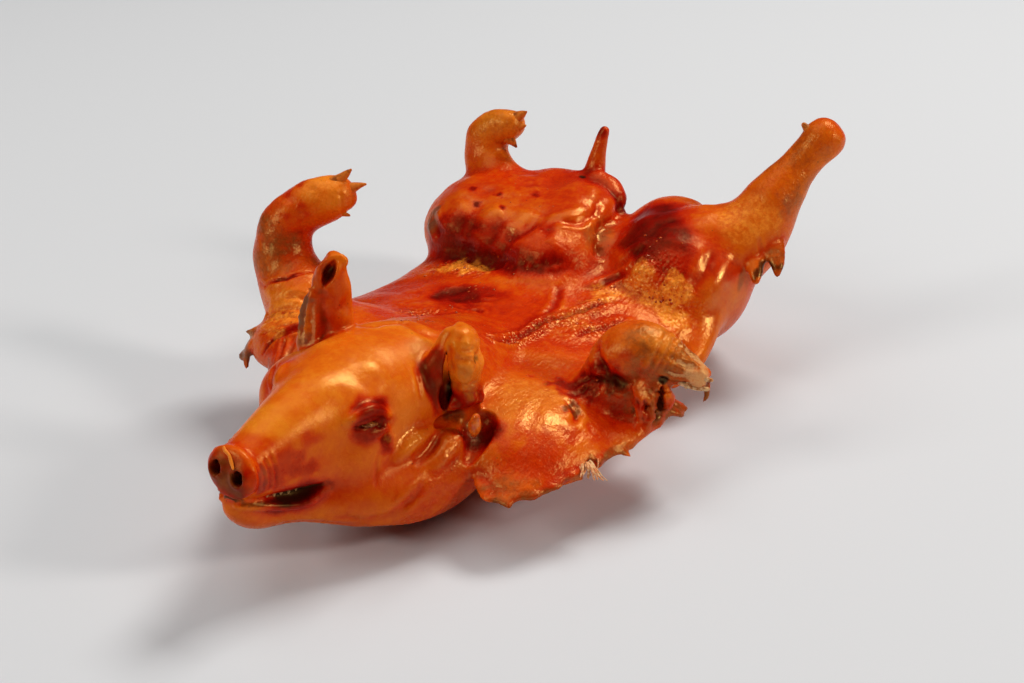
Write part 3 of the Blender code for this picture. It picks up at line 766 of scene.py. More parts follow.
def press_hams():
    each(dent, (
        ((-70, 88, 106), (8, 10, 14), 1.6, 44), ((-38, 90, 110), (7, 10, 12), 1.8, 45),
        ((-100, 118, 122), (14, 12, 10), 1.5, 46), ((-60, 120, 128), (20, 12, 10), 1.2, 47),
        ((-36, 172, 128), 5, 2.5)))
    each(ridge, (
        ([(-30, 96, 118), (-20, 104, 121), (-11, 114, 121), (-10, 128, 124)], 5, 2.2, 8),
        ([(-8, 134, 124), (-12, 146, 127), (-20, 158, 129)], 6, 2, 48),
        ([(126, 132, 116), (122, 110, 96), (119, 92, 80), (118, 74, 60)], 9, 2.4, 32)))
    each(crease, (
        ([(-20, 96, 114), (-4, 104, 116), (2, 122, 120), (-2, 142, 124)], 3.5, 2.2, 0.35, 9),
        ([(-142, 99, 100), (-133, 89, 96), (-122, 84, 90)], 4, 2.5, 0.6, 22),
        ([(-4, 178, 112), (8, 150, 110), (11, 121, 112), (19, 104, 104), (25, 92, 96)], 6, 6, 0.2, 23),
        ([(60, 112, 120), (70, 124, 124), (84, 130, 126)], 5, 0.9, 0.35, 24),
        ([(132, 150, 118), (138, 146, 112), (140, 144, 106), (137, 138, 100)], 1.8, 1, 0.35, 27),
        ([(108, 118, 110), (108, 102, 96), (106, 88, 82)], 5, 1.4, 0.35, 33)))
    each(blister, (
        ((92, 74, 86), (22, 16, 20), 5, 2, 25), ((104, 66, 66), (18, 16, 18), 5, 1.6, 26)))
    for index, (x, y, z, wide, high) in enumerate((
            (-114, 96, 104, 9, 1.6), (-97, 84, 100, 6, 1.4), (-79, 92, 114, 10, 2.4),
            (-60, 80, 100, 6, 1.8), (-48, 92, 112, 9, 2.8), (-30, 78, 102, 7, 2.0),
            (-14, 86, 106, 6, 2.2))):
        lean = 3 * math.sin(2.3 * index)
        ridge([(x - 2 + lean, y - 7, z - 14), (x, y, z), (x + 4 - lean, y + 12 + 2 * lean, z + 9)],
              wide, high, seed=index)
    for index, (x, y, z) in enumerate(((-120, 112, 118), (-96, 100, 116), (-84, 118, 125),
                                       (-62, 104, 120), (-44, 118, 127), (-70, 142, 128),
                                       (-100, 140, 126), (-30, 138, 127))):
        dent((x, y, z), (8, 6, 7), 1.1 if index % 2 else -0.9, seed=95 + index)
    for index, (x, y) in enumerate(((46, 128), (66, 108), (84, 104), (58, 148), (88, 128))):
        dent((x, y, 122), (10, 7, 10), 1.0 if index % 2 else -1.2, seed=85 + index)


press_face()
press_shoulders()
press_back()
press_hams()

# Fat and meat lie unevenly under the skin.  The head and the tight left thigh stay calmer.
top_side = np.clip(sculpt.facing[:, 2] + 0.7, 0, 1) * np.clip(sculpt.spots[:, 2] / 30, 0, 1)
behind_head = np.clip((sculpt.spots[:, 1] + 160) / 40, 0, 1)
sleek, reach = sculpt.near((130, 116, 100), (30, 60, 46), 0.1)
behind_head[sleek] *= 1 - 0.85 * bell(reach)
push += top_side * (0.4 + 0.6 * behind_head) * smooth_noise(sculpt.spots, 26, 40)
push += top_side * 0.8 * behind_head * smooth_noise(sculpt.spots, 14, 49)
patches = np.clip(1.4 * smooth_noise(sculpt.spots, 32, 43), 0, 1) * behind_head
push += top_side * (0.06 + 0.45 * patches) * smooth_noise(sculpt.spots, 8, 41)
push += top_side * 0.3 * patches * smooth_noise(sculpt.spots, 4, 42)
worked = sculpt.spots + sculpt.facing * push[:, None]
worked[:, 2] = np.maximum(worked[:, 2], 0)
skin.data.vertices.foreach_set("co", (worked * MM).astype(np.float32).ravel())
skin.data.update()


def shade_smooth(item):
    for face in item.data.polygons:
        face.use_smooth = True


MOST_TRIANGLES = 192000
triangles = sum(len(face.vertices) - 2 for face in skin.data.polygons)
underside = skin.vertex_groups.new(name="underside")
hidden = np.nonzero((sculpt.facing[:, 2] < -0.6) & (worked[:, 2] < 26))[0]
underside.add([int(number) for number in hidden], 1.0, "REPLACE")
if triangles > MOST_TRIANGLES:
    fewer = skin.modifiers.new("fewer faces", "DECIMATE")
    fewer.ratio = MOST_TRIANGLES / triangles
    fewer.vertex_group = "underside"
    fewer.vertex_group_factor = 1.5
    settle(skin)
    thinned = read_points(skin.data)
    thinned[:, 2] = np.maximum(thinned[:, 2], 0)
    skin.data.vertices.foreach_set("co", thinned.astype(np.float32).ravel())
shade_smooth(skin)
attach(skin, "root")
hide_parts("suckling_pig")


# ---- Skin colours -----------------------------------------------------------------------
# Sugar and fat on the skin brown to gold over the head, go red and glossy over the back, and
# pool dark red in the sunken pool of the back; feet and torn rims dry out brown and black.
# Painted shade darkens the skin's hollows, holes, slits and gaps and the foot of its overhangs,
# and painted light lifts its ridges a little.

surface = Surface(skin.data)
masks = {name: np.zeros(len(surface.spots)) for name in
         ("roast", "brown", "char", "grey", "gold", "meat", "gloss", "bubbly", "grain")}


def hollowness(mesh, rounds):
    """How far each point lies below the smoothed skin, in millimetres, after some rounds."""
    pairs = np.empty(len(mesh.edges) * 2, np.int32)
    mesh.edges.foreach_get("vertices", pairs)
    first, second = pairs.reshape(-1, 2).T
    count = np.bincount(pairs, minlength=len(mesh.vertices))[:, None]
    spots = surface.spots.copy()
    for turn in range(rounds):
        total = np.zeros_like(spots)
        for axis in range(3):
            total[:, axis] += np.bincount(first, spots[second, axis], len(spots))
            total[:, axis] += np.bincount(second, spots[first, axis], len(spots))
        spots += 0.6 * (total / count - spots)
    return ((spots - surface.spots) * surface.facing).sum(axis=1)


def stain(name, centre, radii, value, seed=1, stray=0.3, edge=0.5):
    """Blends a mask towards the value inside a ball with a soft, wandering rim."""
    chosen, reach = surface.near(centre, radii, stray, seed)
    weight = np.clip((1 + edge - reach) / (2 * edge), 0, 1)
    masks[name][chosen] += (value - masks[name][chosen]) * weight * weight * (3 - 2 * weight)


def stains(name, rows, place=None):
    """Stains from rows of centre x, y, z, radii x, y, z, value and seed, then stray and edge."""
    for row in rows:
        centre = row[:3] if place is None else place @ Vector(row[:3])
        stain(name, centre, row[3:6], *row[6:])


def trace(name, path, width, value, seed=1, stray=0.35):
    """Blends a mask towards the value along a path, less at its two ends."""
    chosen, reach, share = surface.beside(path, width, stray, seed)
    weight = np.clip(1.5 - reach, 0, 1) * fade(share)
    masks[name][chosen] += (value - masks[name][chosen]) * weight


BODY_LOOK = {"roast": 0.47, "gloss": 0.6, "grain": 0.8}
HEAD_LOOK = {"gloss": 0.5, "grain": 0.16}


def paint_body():
    for name, value in BODY_LOOK.items():
        masks[name] += value
    for size, seed in ((45, 70), (16, 71)):
        masks["roast"] += 0.07 * smooth_noise(surface.spots, size, seed)
    stains("roast", (
        (-84, -22, 84, 44, 50, 20, 0.62, 1), (6, -4, 80, 44, 40, 16, 0.5, 173),
        (44, -22, 78, 26, 34, 16, 0.5, 169, 0.6), (-20, -110, 110, 50, 24, 30, 0.46, 2),
        (-90, -30, 80, 40, 50, 20, 0.48, 3), (-60, 130, 124, 90, 60, 30, 0.5, 4),
        (-72, 104, 116, 34, 26, 20, 0.38, 183, 0.6), (-74, 80, 90, 76, 18, 20, 0.8, 5, 0.3, 0.7),
        (-30, 176, 122, 24, 20, 20, 0.66, 25)))
    # Painted shade deepens the skin's dark red along the foot of the rump, under its overhang: this band,
    # the wide stain at (-74, 80, 90) above and the first two stains below.
    trace("roast", [(-136, 84, 84), (-120, 78, 84), (-99, 72, 84), (-77, 67, 84), (-55, 64, 86),
          (-32, 60, 90), (-14, 60, 94), (6, 68, 96), (16, 80, 98)], 13, 0.8, seed=7)
    stains("roast", (
        (-104, 84, 96, 24, 10, 18, 0.8, 8), (-22, 86, 100, 16, 12, 18, 0.74, 9),
        (-48, 6, 78, 32, 22, 14, 0.76, 10), (-40, -10, 78, 18, 10, 10, 0.64, 11),
        (-62, 8, 79, 18, 13, 12, 0.86, 12, 0.5)))
    trace("roast", [(-74, -10, 78), (-74, 4, 78), (-66, 14, 79), (-48, 22, 79)], 6, 0.86, seed=11)
    long_fold = [(14, -84, 84), *LONG_FOLD[1:-1], (62, 60, 78)]
    stain("roast", (-26, 4, 79), (16, 14, 12), 0.56, seed=190)
    trace("roast", long_fold, 9, 0.64, seed=13, stray=0.8)
    trace("roast", CROSS_FOLD, 4, 0.62, seed=128, stray=0.8)
    trace("roast", long_fold, 3.5, 0.74, seed=14)
    trace("roast", SECOND_FOLD, 5, 0.66, seed=15)
    trace("roast", HAM_FOLD, 6, 0.74, seed=16)
    # The lighter stain low on the left thigh's side, at (122, 80, 62), is partly a painted sheen.
    stains("roast", (
        (70, 104, 118, 38, 28, 20, 0.92, 17, 0.3, 0.35), (48, 132, 122, 30, 32, 20, 0.9, 18),
        (92, 92, 104, 22, 14, 20, 0.76, 19), (128, 144, 130, 40, 36, 40, 0.4, 20),
        (120, 104, 100, 20, 20, 24, 0.62, 21), (122, 80, 62, 22, 44, 40, 0.4, 22)))
    for index, (x, y, z) in enumerate(((-92, 92, 108), (-100, 104, 116), (-74, 100, 116),
                                       (-86, 116, 124), (-56, 126, 128), (-112, 120, 120))):
        stain("roast", (x, y, z), (4, 4, 4), 0.86, seed=240 + index, stray=0.7)
        stain("char", (x, y, z), (2.4, 2, 2), 0.5, seed=250 + index, stray=0.7)
    stains("gloss", (
        (-66, 74, 92, 90, 18, 22, 0.1, 6), (66, 106, 118, 40, 30, 20, 0.3, 160),
        (122, 100, 86, 24, 40, 40, 1, 161), (-60, 108, 120, 80, 40, 34, 0.85, 182, 0.5)))
    for name, value in (("bubbly", 0.9), ("gloss", 0.95)):
        trace(name, long_fold, 9, value, seed=120, stray=0.6)
        trace(name, SECOND_FOLD, 10, value, seed=121, stray=0.6)
        stain(name, (-60, -44, 79), (30, 12, 10), value, seed=122, stray=0.6)
        stain(name, (66, 84, 100), (20, 20, 20), value, seed=124, stray=0.6)
        stain(name, (92, 76, 86), (22, 18, 22), value * 0.7, seed=125, stray=0.6)
        stain(name, (-88, 56, 78), (28, 14, 12), value * 0.7, seed=126, stray=0.6)
        stain(name, (-20, -124, 120), (14, 16, 14), value * 0.8, seed=127, stray=0.6)
    stains("grain", (
        (-30, 0, 80, 60, 40, 16, 0.4, 191), (126, 110, 96, 34, 60, 50, 0.15, 179),
        (-66, 124, 122, 80, 50, 34, 0.3, 180), (60, 120, 118, 50, 40, 24, 0.35, 181)))
    stains("gold", (
        (128, 146, 136, 34, 22, 26, 0.7, 23), (-88, 56, 78, 26, 13, 12, 0.9, 26, 0.6),
        (42, 12, 78, 20, 40, 14, 0.5, 27, 0.6), (50, 62, 82, 18, 14, 14, 0.7, 28, 0.6),
        (90, 74, 84, 20, 14, 18, 0.86, 29, 0.8), (102, 68, 68, 12, 10, 14, 0.9, 30, 0.6),
        (68, 80, 94, 12, 12, 16, 0.8, 31)))
    stain("gloss", (-48, 6, 79), (32, 26, 10), 1.0, seed=123)
    stains("brown", (
        (12, 116, 108, 9, 26, 20, 0.7, 32), (-140, 92, 96, 12, 16, 16, 0.8, 35)))
    stain("grey", (-141, 96, 98), (9, 14, 14), 0.8, seed=34)
    stain("char", (-36, 174, 130), (3.5, 3.5, 3.5), 0.9, seed=36)
    stains("roast", (
        (0, 172, 114, 14, 14, 12, 0.84, 37), (-31, 200, 166, 6, 6, 8, 0.84, 38)))


def paint_legs():
    stain("meat", (172, -46, 88), (15, 12, 12), 0.8, seed=53, stray=1.0)
    for index, (y, z) in enumerate(((-62, 96), (-58, 104), (-50, 108))):
        trace("meat", [(150, y, z), (160, y + 4, z - 5), (174, 0.3 * y - 30, 0.3 * z + 60)], 1.6,
              0.8, seed=130 + index, stray=0.6)
    # Darker at (-140, -124, 80), on the lower part of the right shoulder: painted shade.
    stains("roast", (
        (-146, -112, 88, 38, 32, 30, 0.32, 141), (-140, -124, 80, 26, 18, 16, 0.48, 162, 0.6),
        (-112, -148, 66, 24, 34, 18, 0.56, 174, 0.5), (-176, -60, 130, 26, 24, 30, 0.48, 143, 0.6),
        (-150, -36, 160, 24, 22, 20, 0.24, 163, 0.6), (-168, -50, 144, 12, 14, 18, 0.82, 43, 0.7),
        (-124, 186, 156, 26, 22, 28, 0.24, 46), (150, 196, 160, 34, 34, 44, 0.36, 49),
        (116, -77, 90, 16, 8, 8, 0.9, 51, 0.6), (140, -56, 112, 30, 20, 14, 0.3, 146)))
    # Painted shade: dark red strips along the creases between the torn sheets under the left elbow.
    for index, y in enumerate((-84, -76, -68, -60)):
        trace("roast", [(140, y, 82), (147, y - 1, 70), (150, y, 58)], 2.2, 0.9, seed=230 + index,
              stray=0.8)
    # The brown at (148, -22, 60) is painted shade on the end of the shoulder's rim, seen through the gap
    # under the elbow.
    stains("brown", (
        (-112, -148, 66, 24, 34, 18, 0.6, 175, 0.6), (-180, -60, 118, 30, 24, 34, 0.85, 40, 0.6),
        (-152, -36, 158, 26, 24, 24, 0.3, 41, 0.5), (-124, 186, 156, 30, 24, 32, 0.45, 45, 0.5),
        (150, 196, 168, 34, 34, 44, 0.55, 47, 0.5), (140, -56, 100, 34, 28, 30, 0.75, 50, 0.5),
        (158, -48, 92, 16, 16, 16, 0.8, 129, 0.5), (148, -22, 60, 14, 10, 8, 1, 184),
        (146, -72, 72, 12, 14, 18, 0.7, 178, 0.6)))
    trace("brown", [(156, -62, 88), (164, -57, 84), (172, -52, 81), (178, -48, 79)],
          2, 1, seed=188, stray=0.8)
    stain("roast", (146, -60, 68), (16, 20, 18), 0.68, seed=56, stray=0.7)
    trace("roast", NECK_FOLD, 2.6, 0.84, seed=63)
    for index, path in enumerate((
            [(-167, -93, 102), (-154, -91, 107), (-146, -84, 110)],
            [(-160, -111, 81), (-150, -112, 88), (-138, -112, 93), (-127, -113, 97)],
            [(-147, -130, 77), (-139, -128, 83), (-127, -130, 90)],
            [(-142, -139, 66), (-137, -136, 76), (-132, -130, 83), (-119, -131, 92)])):
        trace("roast", path, 1.9, 0.82, seed=64 + index, stray=0.9)
    stains("gold", (
        (-142, -108, 92, 30, 24, 20, 0.75, 142, 0.6), (-152, -36, 162, 22, 20, 20, 0.6, 42, 0.6),
        (140, -58, 112, 22, 16, 14, 0.75, 52, 0.6)))
    stains("grey", (
        (-178, -74, 112, 14, 14, 22, 0.4, 44, 0.6), (152, 178, 146, 12, 26, 24, 0.5, 48, 0.7),
        (-176, -118, 58, 16, 14, 16, 0.85, 60)))
    # Painted shade: black in the holes of the elbow's torn end and its bone, on the end of the shoulder's
    # rim at (148, -20, 58) and under the torn sheets at (146, -66, 60); the spot at (150, 136, 98)
    # darkens the left knee's rag.
    stains("char", (
        (148, -20, 58, 12, 10, 8, 0.8, 185), (153, -64, 88, 4, 5, 4, 0.95, 54),
        (180, -44, 84, 5, 6, 5, 0.7, 55), (173, -50, 88, 3, 2.4, 2.4, 0.8, 186),
        (165, -56, 85, 3, 2.4, 2, 0.7, 187), (146, -66, 60, 14, 12, 10, 0.6, 57, 0.9),
        (150, 136, 98, 10, 12, 9, 0.75, 59, 0.8)))
    stain("brown", (158, 140, 104), (14, 16, 16), 0.7, seed=58)
    stain("meat", (-170, -116, 62), (12, 10, 10), 0.5, seed=61)


def paint_shoulder():
    stains("roast", (
        (70, -100, 78, 52, 50, 26, 0.4, 189), (86, -136, 74, 44, 42, 24, 0.31, 70)))
    for index, (x, depth) in enumerate(((82, 0.5), (92, 0.36), (101, 0.56), (111, 0.5), (119, 0.6))):
        trace("roast", [(x - 6, -118, 76), (x, -140, 68), (x + 4, -160, 60), (x + 4, -176, 50)],
              3.5, depth, seed=85 + index, stray=0.7)
    # The pit beside the left elbow, at (118, -78, 84), is dark red deepened by painted shade.
    stains("roast", (
        (118, -78, 84, 24, 18, 18, 0.8, 71, 0.6), (96, -88, 80, 22, 10, 8, 0.76, 73, 0.9)))
    for index, path in enumerate(([(98, -96, 74), (103, -104, 73), (101, -112, 72), (105, -120, 70)],
                                  [(104, -100, 73), (109, -108, 71), (107, -116, 70)],
                                  [(100, -110, 72), (108, -112, 71), (112, -118, 69)])):
        trace("roast", path, 2, 1.0, seed=74 + 200 * index, stray=1.2)
        trace("brown", path, 2, 0.7, seed=75 + 200 * index, stray=1.2)
    stains("roast", (
        (130, -100, 64, 18, 26, 18, 0.54, 75, 0.6), (175, -44, 75, 8, 9, 12, 0.66, 177),
        (158, -46, 58, 16, 22, 12, 0.66, 164, 0.7), (106, -162, 58, 24, 22, 14, 0.54, 171, 0.7),
        (108, -182, 44, 24, 20, 10, 0.46, 77)))
    trace("roast", [(76, -182, 50), (90, -192, 42), (106, -196, 40), (119, -178, 44), (126, -158, 48),
          (130, -142, 49), (139, -120, 50), (145, -96, 49)], 4, 0.66, seed=78)
    stains("brown", (
        (158, -46, 58, 16, 22, 12, 0.9, 76), (175, -44, 75, 8, 9, 12, 1, 176),
        (104, -186, 44, 22, 16, 10, 0.7, 168, 0.6)))
    trace("brown", [(76, -182, 50), (90, -193, 42), (106, -198, 40), (120, -180, 43), (127, -160, 47),
          (132, -142, 48), (141, -120, 49), (147, -96, 48), (150, -72, 50)], 4, 0.85, seed=165, stray=0.8)
    stain("gold", (76, -118, 80), (30, 28, 14), 0.6, seed=84, stray=0.6)
    # Painted shade: black deep in the pit at (122, -76, 82) and in the tear behind the jaw at (58, -162,
    # 68) and (48, -168, 78); the spot at (94, -194, 41) darkens a corner of the rim.
    stains("char", (
        (122, -76, 82, 14, 10, 11, 0.7, 72, 0.5), (94, -194, 41, 4, 5, 3, 0.7, 166),
        (58, -162, 68, 10, 10, 9, 0.6, 80), (48, -168, 78, 14, 9, 6, 0.7, 83, 0.2)))
    # Dark red in the tear behind the jaw, deepened by painted shade.
    stains("roast", (
        (62, -166, 76, 18, 16, 18, 0.96, 79, 0.2, 0.35), (46, -174, 78, 17, 12, 8, 1, 81, 0.2, 0.35)))
    stain("gloss", (80, -130, 76), (40, 34, 20), 0.85, seed=82)
    stain("grain", (80, -130, 76), (44, 44, 20), 0.6, seed=192)


def paint_face():
    spots = surface.spots
    place = (spots - np.array(head.translation)) @ np.array(head.to_3x3())
    ahead, aside, above = place.T
    on_head = np.clip((ahead + 28) / 30, 0, 1) * np.clip((74 - np.abs(aside)) / 12, 0, 1)
    on_head *= np.clip((spots[:, 2] - 20) / 10, 0, 1)
    side_tone = 0.27 + 0.16 * np.clip((14 - above) / 50, 0, 1) + 0.05 * smooth_noise(spots, 30, 90)
    masks["roast"] += (side_tone - masks["roast"]) * on_head
    for name, value in HEAD_LOOK.items():
        masks[name] += (value - masks[name]) * on_head
    disc = local((HEAD_LENGTH + 1, 2, -1))[0]
    stain("grey", disc, (20, 9, 18), 0.3, seed=91)
    stain("gloss", local((70, 20, 32))[0], (40, 34, 20), 0.75, seed=170)
    stain("gloss", disc, (20, 9, 18), 0.1, seed=149)
    stain("roast", disc, (21, 9, 19), 1.0, seed=92)
    stain("brown", disc, (21, 9, 19), 0.7, seed=144)
    for side in (1, -1):
        # Painted shade: black in the nostrils, in the slit between the lids, and dark red and black in
        # the mouth's opening and along its lips.
        stain("char", local((HEAD_LENGTH - 8, 2 + 8.5 * side, 0))[0], (5, 10, 6.5), 0.95, seed=93,
              stray=0.1, edge=0.3)
        redness = 0.84 if side == 1 else 0.5
        stain("roast", local((84, 40 * side, 7))[0], (13, 17, 15), redness, seed=94, edge=0.35)
        stain("roast", local((76, 46 * side, -12))[0], (8, 6, 8), redness, seed=95)
        stain("char", local((87, 42 * side, 4))[0], (5, 8, 2.5), 0.4, seed=96, edge=0.3)
        stain("roast", local((136, 22 * side, -29))[0], (15, 22, 11), 1.0, seed=145, stray=0.15)
        stain("char", local((136, 20 * side, -29))[0], (12, 19, 7), 0.9, seed=97, stray=0.15)
        trace("char", local((178, 9 * side, -19), (170, 13 * side, -24), (158, 17 * side, -27),
                            (140, 24 * side, -29)), 2.2, 0.7, seed=98, stray=0.15)
    trace("char", local((174, -12, -22), (179, -3, -20), (179, 6, -20), (174, 14, -22)),
          2.2, 0.8, seed=99, stray=0.15)
    stains("roast", (
        (148, 18, 4, 14, 26, 16, 0.6, 100, 0.9), (140, 0, 20, 40, 12, 12, 0.2, 147),
        (164, 4, 10, 20, 12, 10, 0.46, 101)), place=head)
    for index, (ahead, aside, above) in enumerate(((150, 22, -6), (134, 25, -10), (158, 20, -12))):
        trace("roast", local((ahead + 12, aside - 3, above + 3), (ahead, aside, above),
                             (ahead - 14, aside + 3, above - 4)), 4, 0.66, seed=150 + index, stray=1.0)
    for index, spot in enumerate(((40, -206, 78), (58, -188, 69))):
        stain("gloss", spot, (13, 15, 12), 1.0, seed=153 + index)
        stain("bubbly", spot, (12, 13, 11), 0.2, seed=155 + index, stray=0.6)
    stain("gold", local((62, 48, -2))[0], (20, 18, 20), 0.5, seed=104)
    stain("grey", local((164, 17, -4))[0], (7, 7, 13), 0.5, seed=102, stray=0.5)
    # Painted shade at the corner of the mouth.
    stain("char", local((118, 32, -28))[0], (5, 10, 8), 0.5, seed=103)
    # Painted shade: black in the gap between the left ear's leaves, at (40, -165, 104), and in the hole
    # in its back leaf, at (60, -160, 123).
    stains("char", (
        (40, -165, 104, 4, 8, 22, 0.85, 115, 0.15, 0.3), (60, -160, 123, 4.5, 4.5, 4.5, 0.85, 116)))
    # Painted shade: black in the right ear's opening.
    stain("char", right_ear @ Vector((-1.5, 2, 55)), (6, 6, 8), 0.7, seed=112, stray=0.2)
    for index, rim in enumerate(right_rims[3:]):
        trace("meat", [tuple(right_ear @ Vector(row[:3])) for row in rim], 1.5, 0.85,
              seed=119 + 40 * index, stray=0.4)
    stain("gold", (56, -164, 124), (20, 16, 22), 0.7, seed=107, stray=0.6)
    # The dark red at the foot of the left ear's back leaf, at (52, -164, 92), is painted shade.
    stains("roast", (
        (56, -164, 116, 20, 16, 26, 0.38, 172, 0.7), (52, -164, 92, 18, 16, 9, 0.8, 109),
        (34, -175, 108, 11, 9, 27, 0.84, 108, 0.15, 0.3), (-54, -178, 146, 20, 18, 36, 0.56, 117),
        (-62, -182, 130, 10, 12, 30, 0.4, 167)))
    stains("brown", (
        (54, -166, 108, 20, 16, 16, 0.5, 106), (34, -175, 108, 11, 9, 27, 0.4, 113, 0.15, 0.3),
        (-54, -178, 140, 20, 18, 36, 0.4, 118, 0.6), (-62, -182, 134, 12, 14, 34, 0.6, 110, 0.4)))
    stains("grey", (
        (33, -177, 104, 4, 5, 8, 0.5, 114, 0.5), (-64, -184, 130, 10, 12, 28, 0.9, 111, 0.6)))


paint_body()
paint_legs()
paint_shoulder()
paint_face()
# Painted shade darkens the skin in its hollows, the fine ones 0.12 mm deep and the wide ones
# 1 mm; painted light lifts its ridges as much.
small_hollow_shade = np.clip(hollowness(skin.data, 6) / 0.12, -1, 1)
wide_hollow_shade = np.clip(hollowness(skin.data, 60) / 1.0, -1, 1)
masks["roast"] += 0.04 * small_hollow_shade + 0.04 * wide_hollow_shade
for name, values in masks.items():
    layer = skin.data.attributes.new(name, "FLOAT", "POINT")
    layer.data.foreach_set("value", np.clip(values, 0, 1).astype(np.float32))


class Wire:
    """One socket of a material.  Sums on wires add Math nodes, and add() adds any other."""

    def __init__(self, tree, socket=None):
        self.tree = tree
        self.socket = socket

    def add(self, kind, settings=(), sockets=(), output=0):
        """Adds a node: its settings first, then the values or links of its sockets."""
        node = self.tree.nodes.new(kind)
        for setting, value in dict(settings).items():
            if setting == "stops":
                fill_ramp(node.color_ramp, value)
            else:
                setattr(node, setting, value)
        for place, value in dict(sockets).items():
            if isinstance(value, Wire):
                self.tree.links.new(value.socket, node.inputs[place])
            else:
                node.inputs[place].default_value = value
        return Wire(self.tree, node.outputs[output]) if len(node.outputs) else node

    def sum(self, operation, first, second):
        return self.add("ShaderNodeMath", {"operation": operation}, {0: first, 1: second})

    def __add__(self, other):
        return self.sum("ADD", self, other)

    def __radd__(self, other):
        return self.sum("ADD", other, self)

    def __sub__(self, other):
        return self.sum("SUBTRACT", self, other)

    def __rsub__(self, other):
        return self.sum("SUBTRACT", other, self)

    def __mul__(self, other):
        return self.sum("MULTIPLY", self, other)

    def __rmul__(self, other):
        return self.sum("MULTIPLY", other, self)

    def __pow__(self, other):
        return self.sum("POWER", self, other)

    def mask(self, name):
        return self.add("ShaderNodeAttribute", {"attribute_name": name}, output="Fac")

    def place(self, stretch=(1, 1, 1)):
        """The spot on the piece in millimetres, squeezed by the stretch."""
        spot = self.add("ShaderNodeTexCoord", output="Object")
        return self.add("ShaderNodeVectorMath", {"operation": "MULTIPLY"},
                        {0: spot, 1: [share / MM for share in stretch]})

    def lumps(self, size, detail=2.0, stretch=(1, 1, 1), shift=0.0):
        """Cloudy noise from 0 to 1 whose lumps are about the given size in millimetres."""
        return self.add("ShaderNodeTexNoise", {"noise_dimensions": "4D"},
                        {"Vector": self.place(stretch), "W": shift, "Scale": 1 / size,
                         "Detail": detail})

    def cells(self, size, feature="F1"):
        return self.add("ShaderNodeTexVoronoi", {"feature": feature},
                        {"Vector": self.place(), "Scale": 1 / size})

    def between(self, low, high):
        """0 at or below the low value, 1 at or above the high one, smooth between them."""
        return self.add("ShaderNodeMapRange", {"interpolation_type": "SMOOTHSTEP"},
                        {"Value": self, "From Min": low, "From Max": high})

    def mix(self, first, second):
        """The first colour where this wire is 0 and the second where it is 1."""
        return self.add("ShaderNodeMix", {"data_type": "RGBA"},
                        {"Factor": self, 6: first, 7: second}, output=2)

    def bump(self, distance, below=None):
        """A bump that reads this wire as its height, over the bump below it."""
        sockets = {"Height": self, "Distance": distance * MM}
        if below is not None:
            sockets["Normal"] = below
        return self.add("ShaderNodeBump", {}, sockets)


def fill_ramp(ramp, stops):
    while len(ramp.elements) < len(stops):
        ramp.elements.new(1.0)
    for element, (position, colour) in zip(ramp.elements, stops):
        element.position = position
        element.color = colour


def tone(red, green, blue):
    """A colour as it looks, from 0 to 255, to the light values that a shader needs."""
    values = [channel / 255 for channel in (red, green, blue)]
    light = [value / 12.92 if value <= 0.04045 else ((value + 0.055) / 1.055) ** 2.4
             for value in values]
    return (*light, 1.0)


WARM_SHINE = (1.0, 0.58, 0.15, 1.0)


def finish(name, item, fixed=()):
    """A new material on the piece: its bench for adding nodes, and its shader's sockets."""
    made = bpy.data.materials.new(name)
    made.use_nodes = True
    shader = made.node_tree.nodes["Principled BSDF"]
    shader.inputs["Specular Tint"].default_value = WARM_SHINE
    for socket, value in dict(fixed).items():
        shader.inputs[socket].default_value = value
    item.data.materials.clear()
    item.data.materials.append(made)
    bench = Wire(made.node_tree)

    def feed(**wires):
        for socket, wire in wires.items():
            made.node_tree.links.new(wire.socket, shader.inputs[socket.replace("_", " ")])
    return bench, feed


bench, feed = finish("roast_skin", skin, {
    "Subsurface Weight": 0.06, "Subsurface Radius": (1.0, 0.35, 0.12), "Subsurface Scale": 0.004,
    "IOR": 1.36, "Specular IOR Level": 0.15})
broad = bench.lumps(34, 3)
middling = bench.lumps(8, 4, shift=3)
fine = bench.lumps(1.6, 3, shift=5)
mottle = bench.lumps(3.4, 3, shift=17)
# This mask carries the roast's tone and the painted shade of hollows, holes, gaps and overhangs.
roast = bench.mask("roast") + (broad - 0.5) * 0.22 + (middling - 0.5) * 0.24
roast = roast + (fine - 0.5) * 0.12 + (mottle - 0.5) * 0.2
colour = bench.add("ShaderNodeValToRGB", {"stops": [
    (0.0, tone(240, 148, 38)), (0.25, tone(224, 104, 14)), (0.5, tone(204, 50, 2)),
    (0.66, tone(178, 20, 0)), (0.82, tone(134, 4, 0)), (1.0, tone(84, 1, 0))]}, {"Fac": roast})
gold = bench.mask("gold") * (0.8 * middling + 1.1 * mottle + 0.6 * fine - 0.6)
colour = gold.between(0.2, 0.75).mix(colour, tone(252, 148, 46))
brown = bench.mask("brown") * (1.3 * middling + 0.9 * mottle - 0.3)
colour = brown.between(0.15, 0.95).mix(colour, tone(140, 64, 20))
grey = bench.mask("grey") * (0.5 + 1.2 * (middling - 0.2))
colour = grey.between(0.25, 0.9).mix(colour, tone(124, 72, 54))
meat = bench.mask("meat") * (0.5 + 1.2 * (fine - 0.2))
colour = meat.between(0.25, 0.8).mix(colour, tone(222, 158, 104))
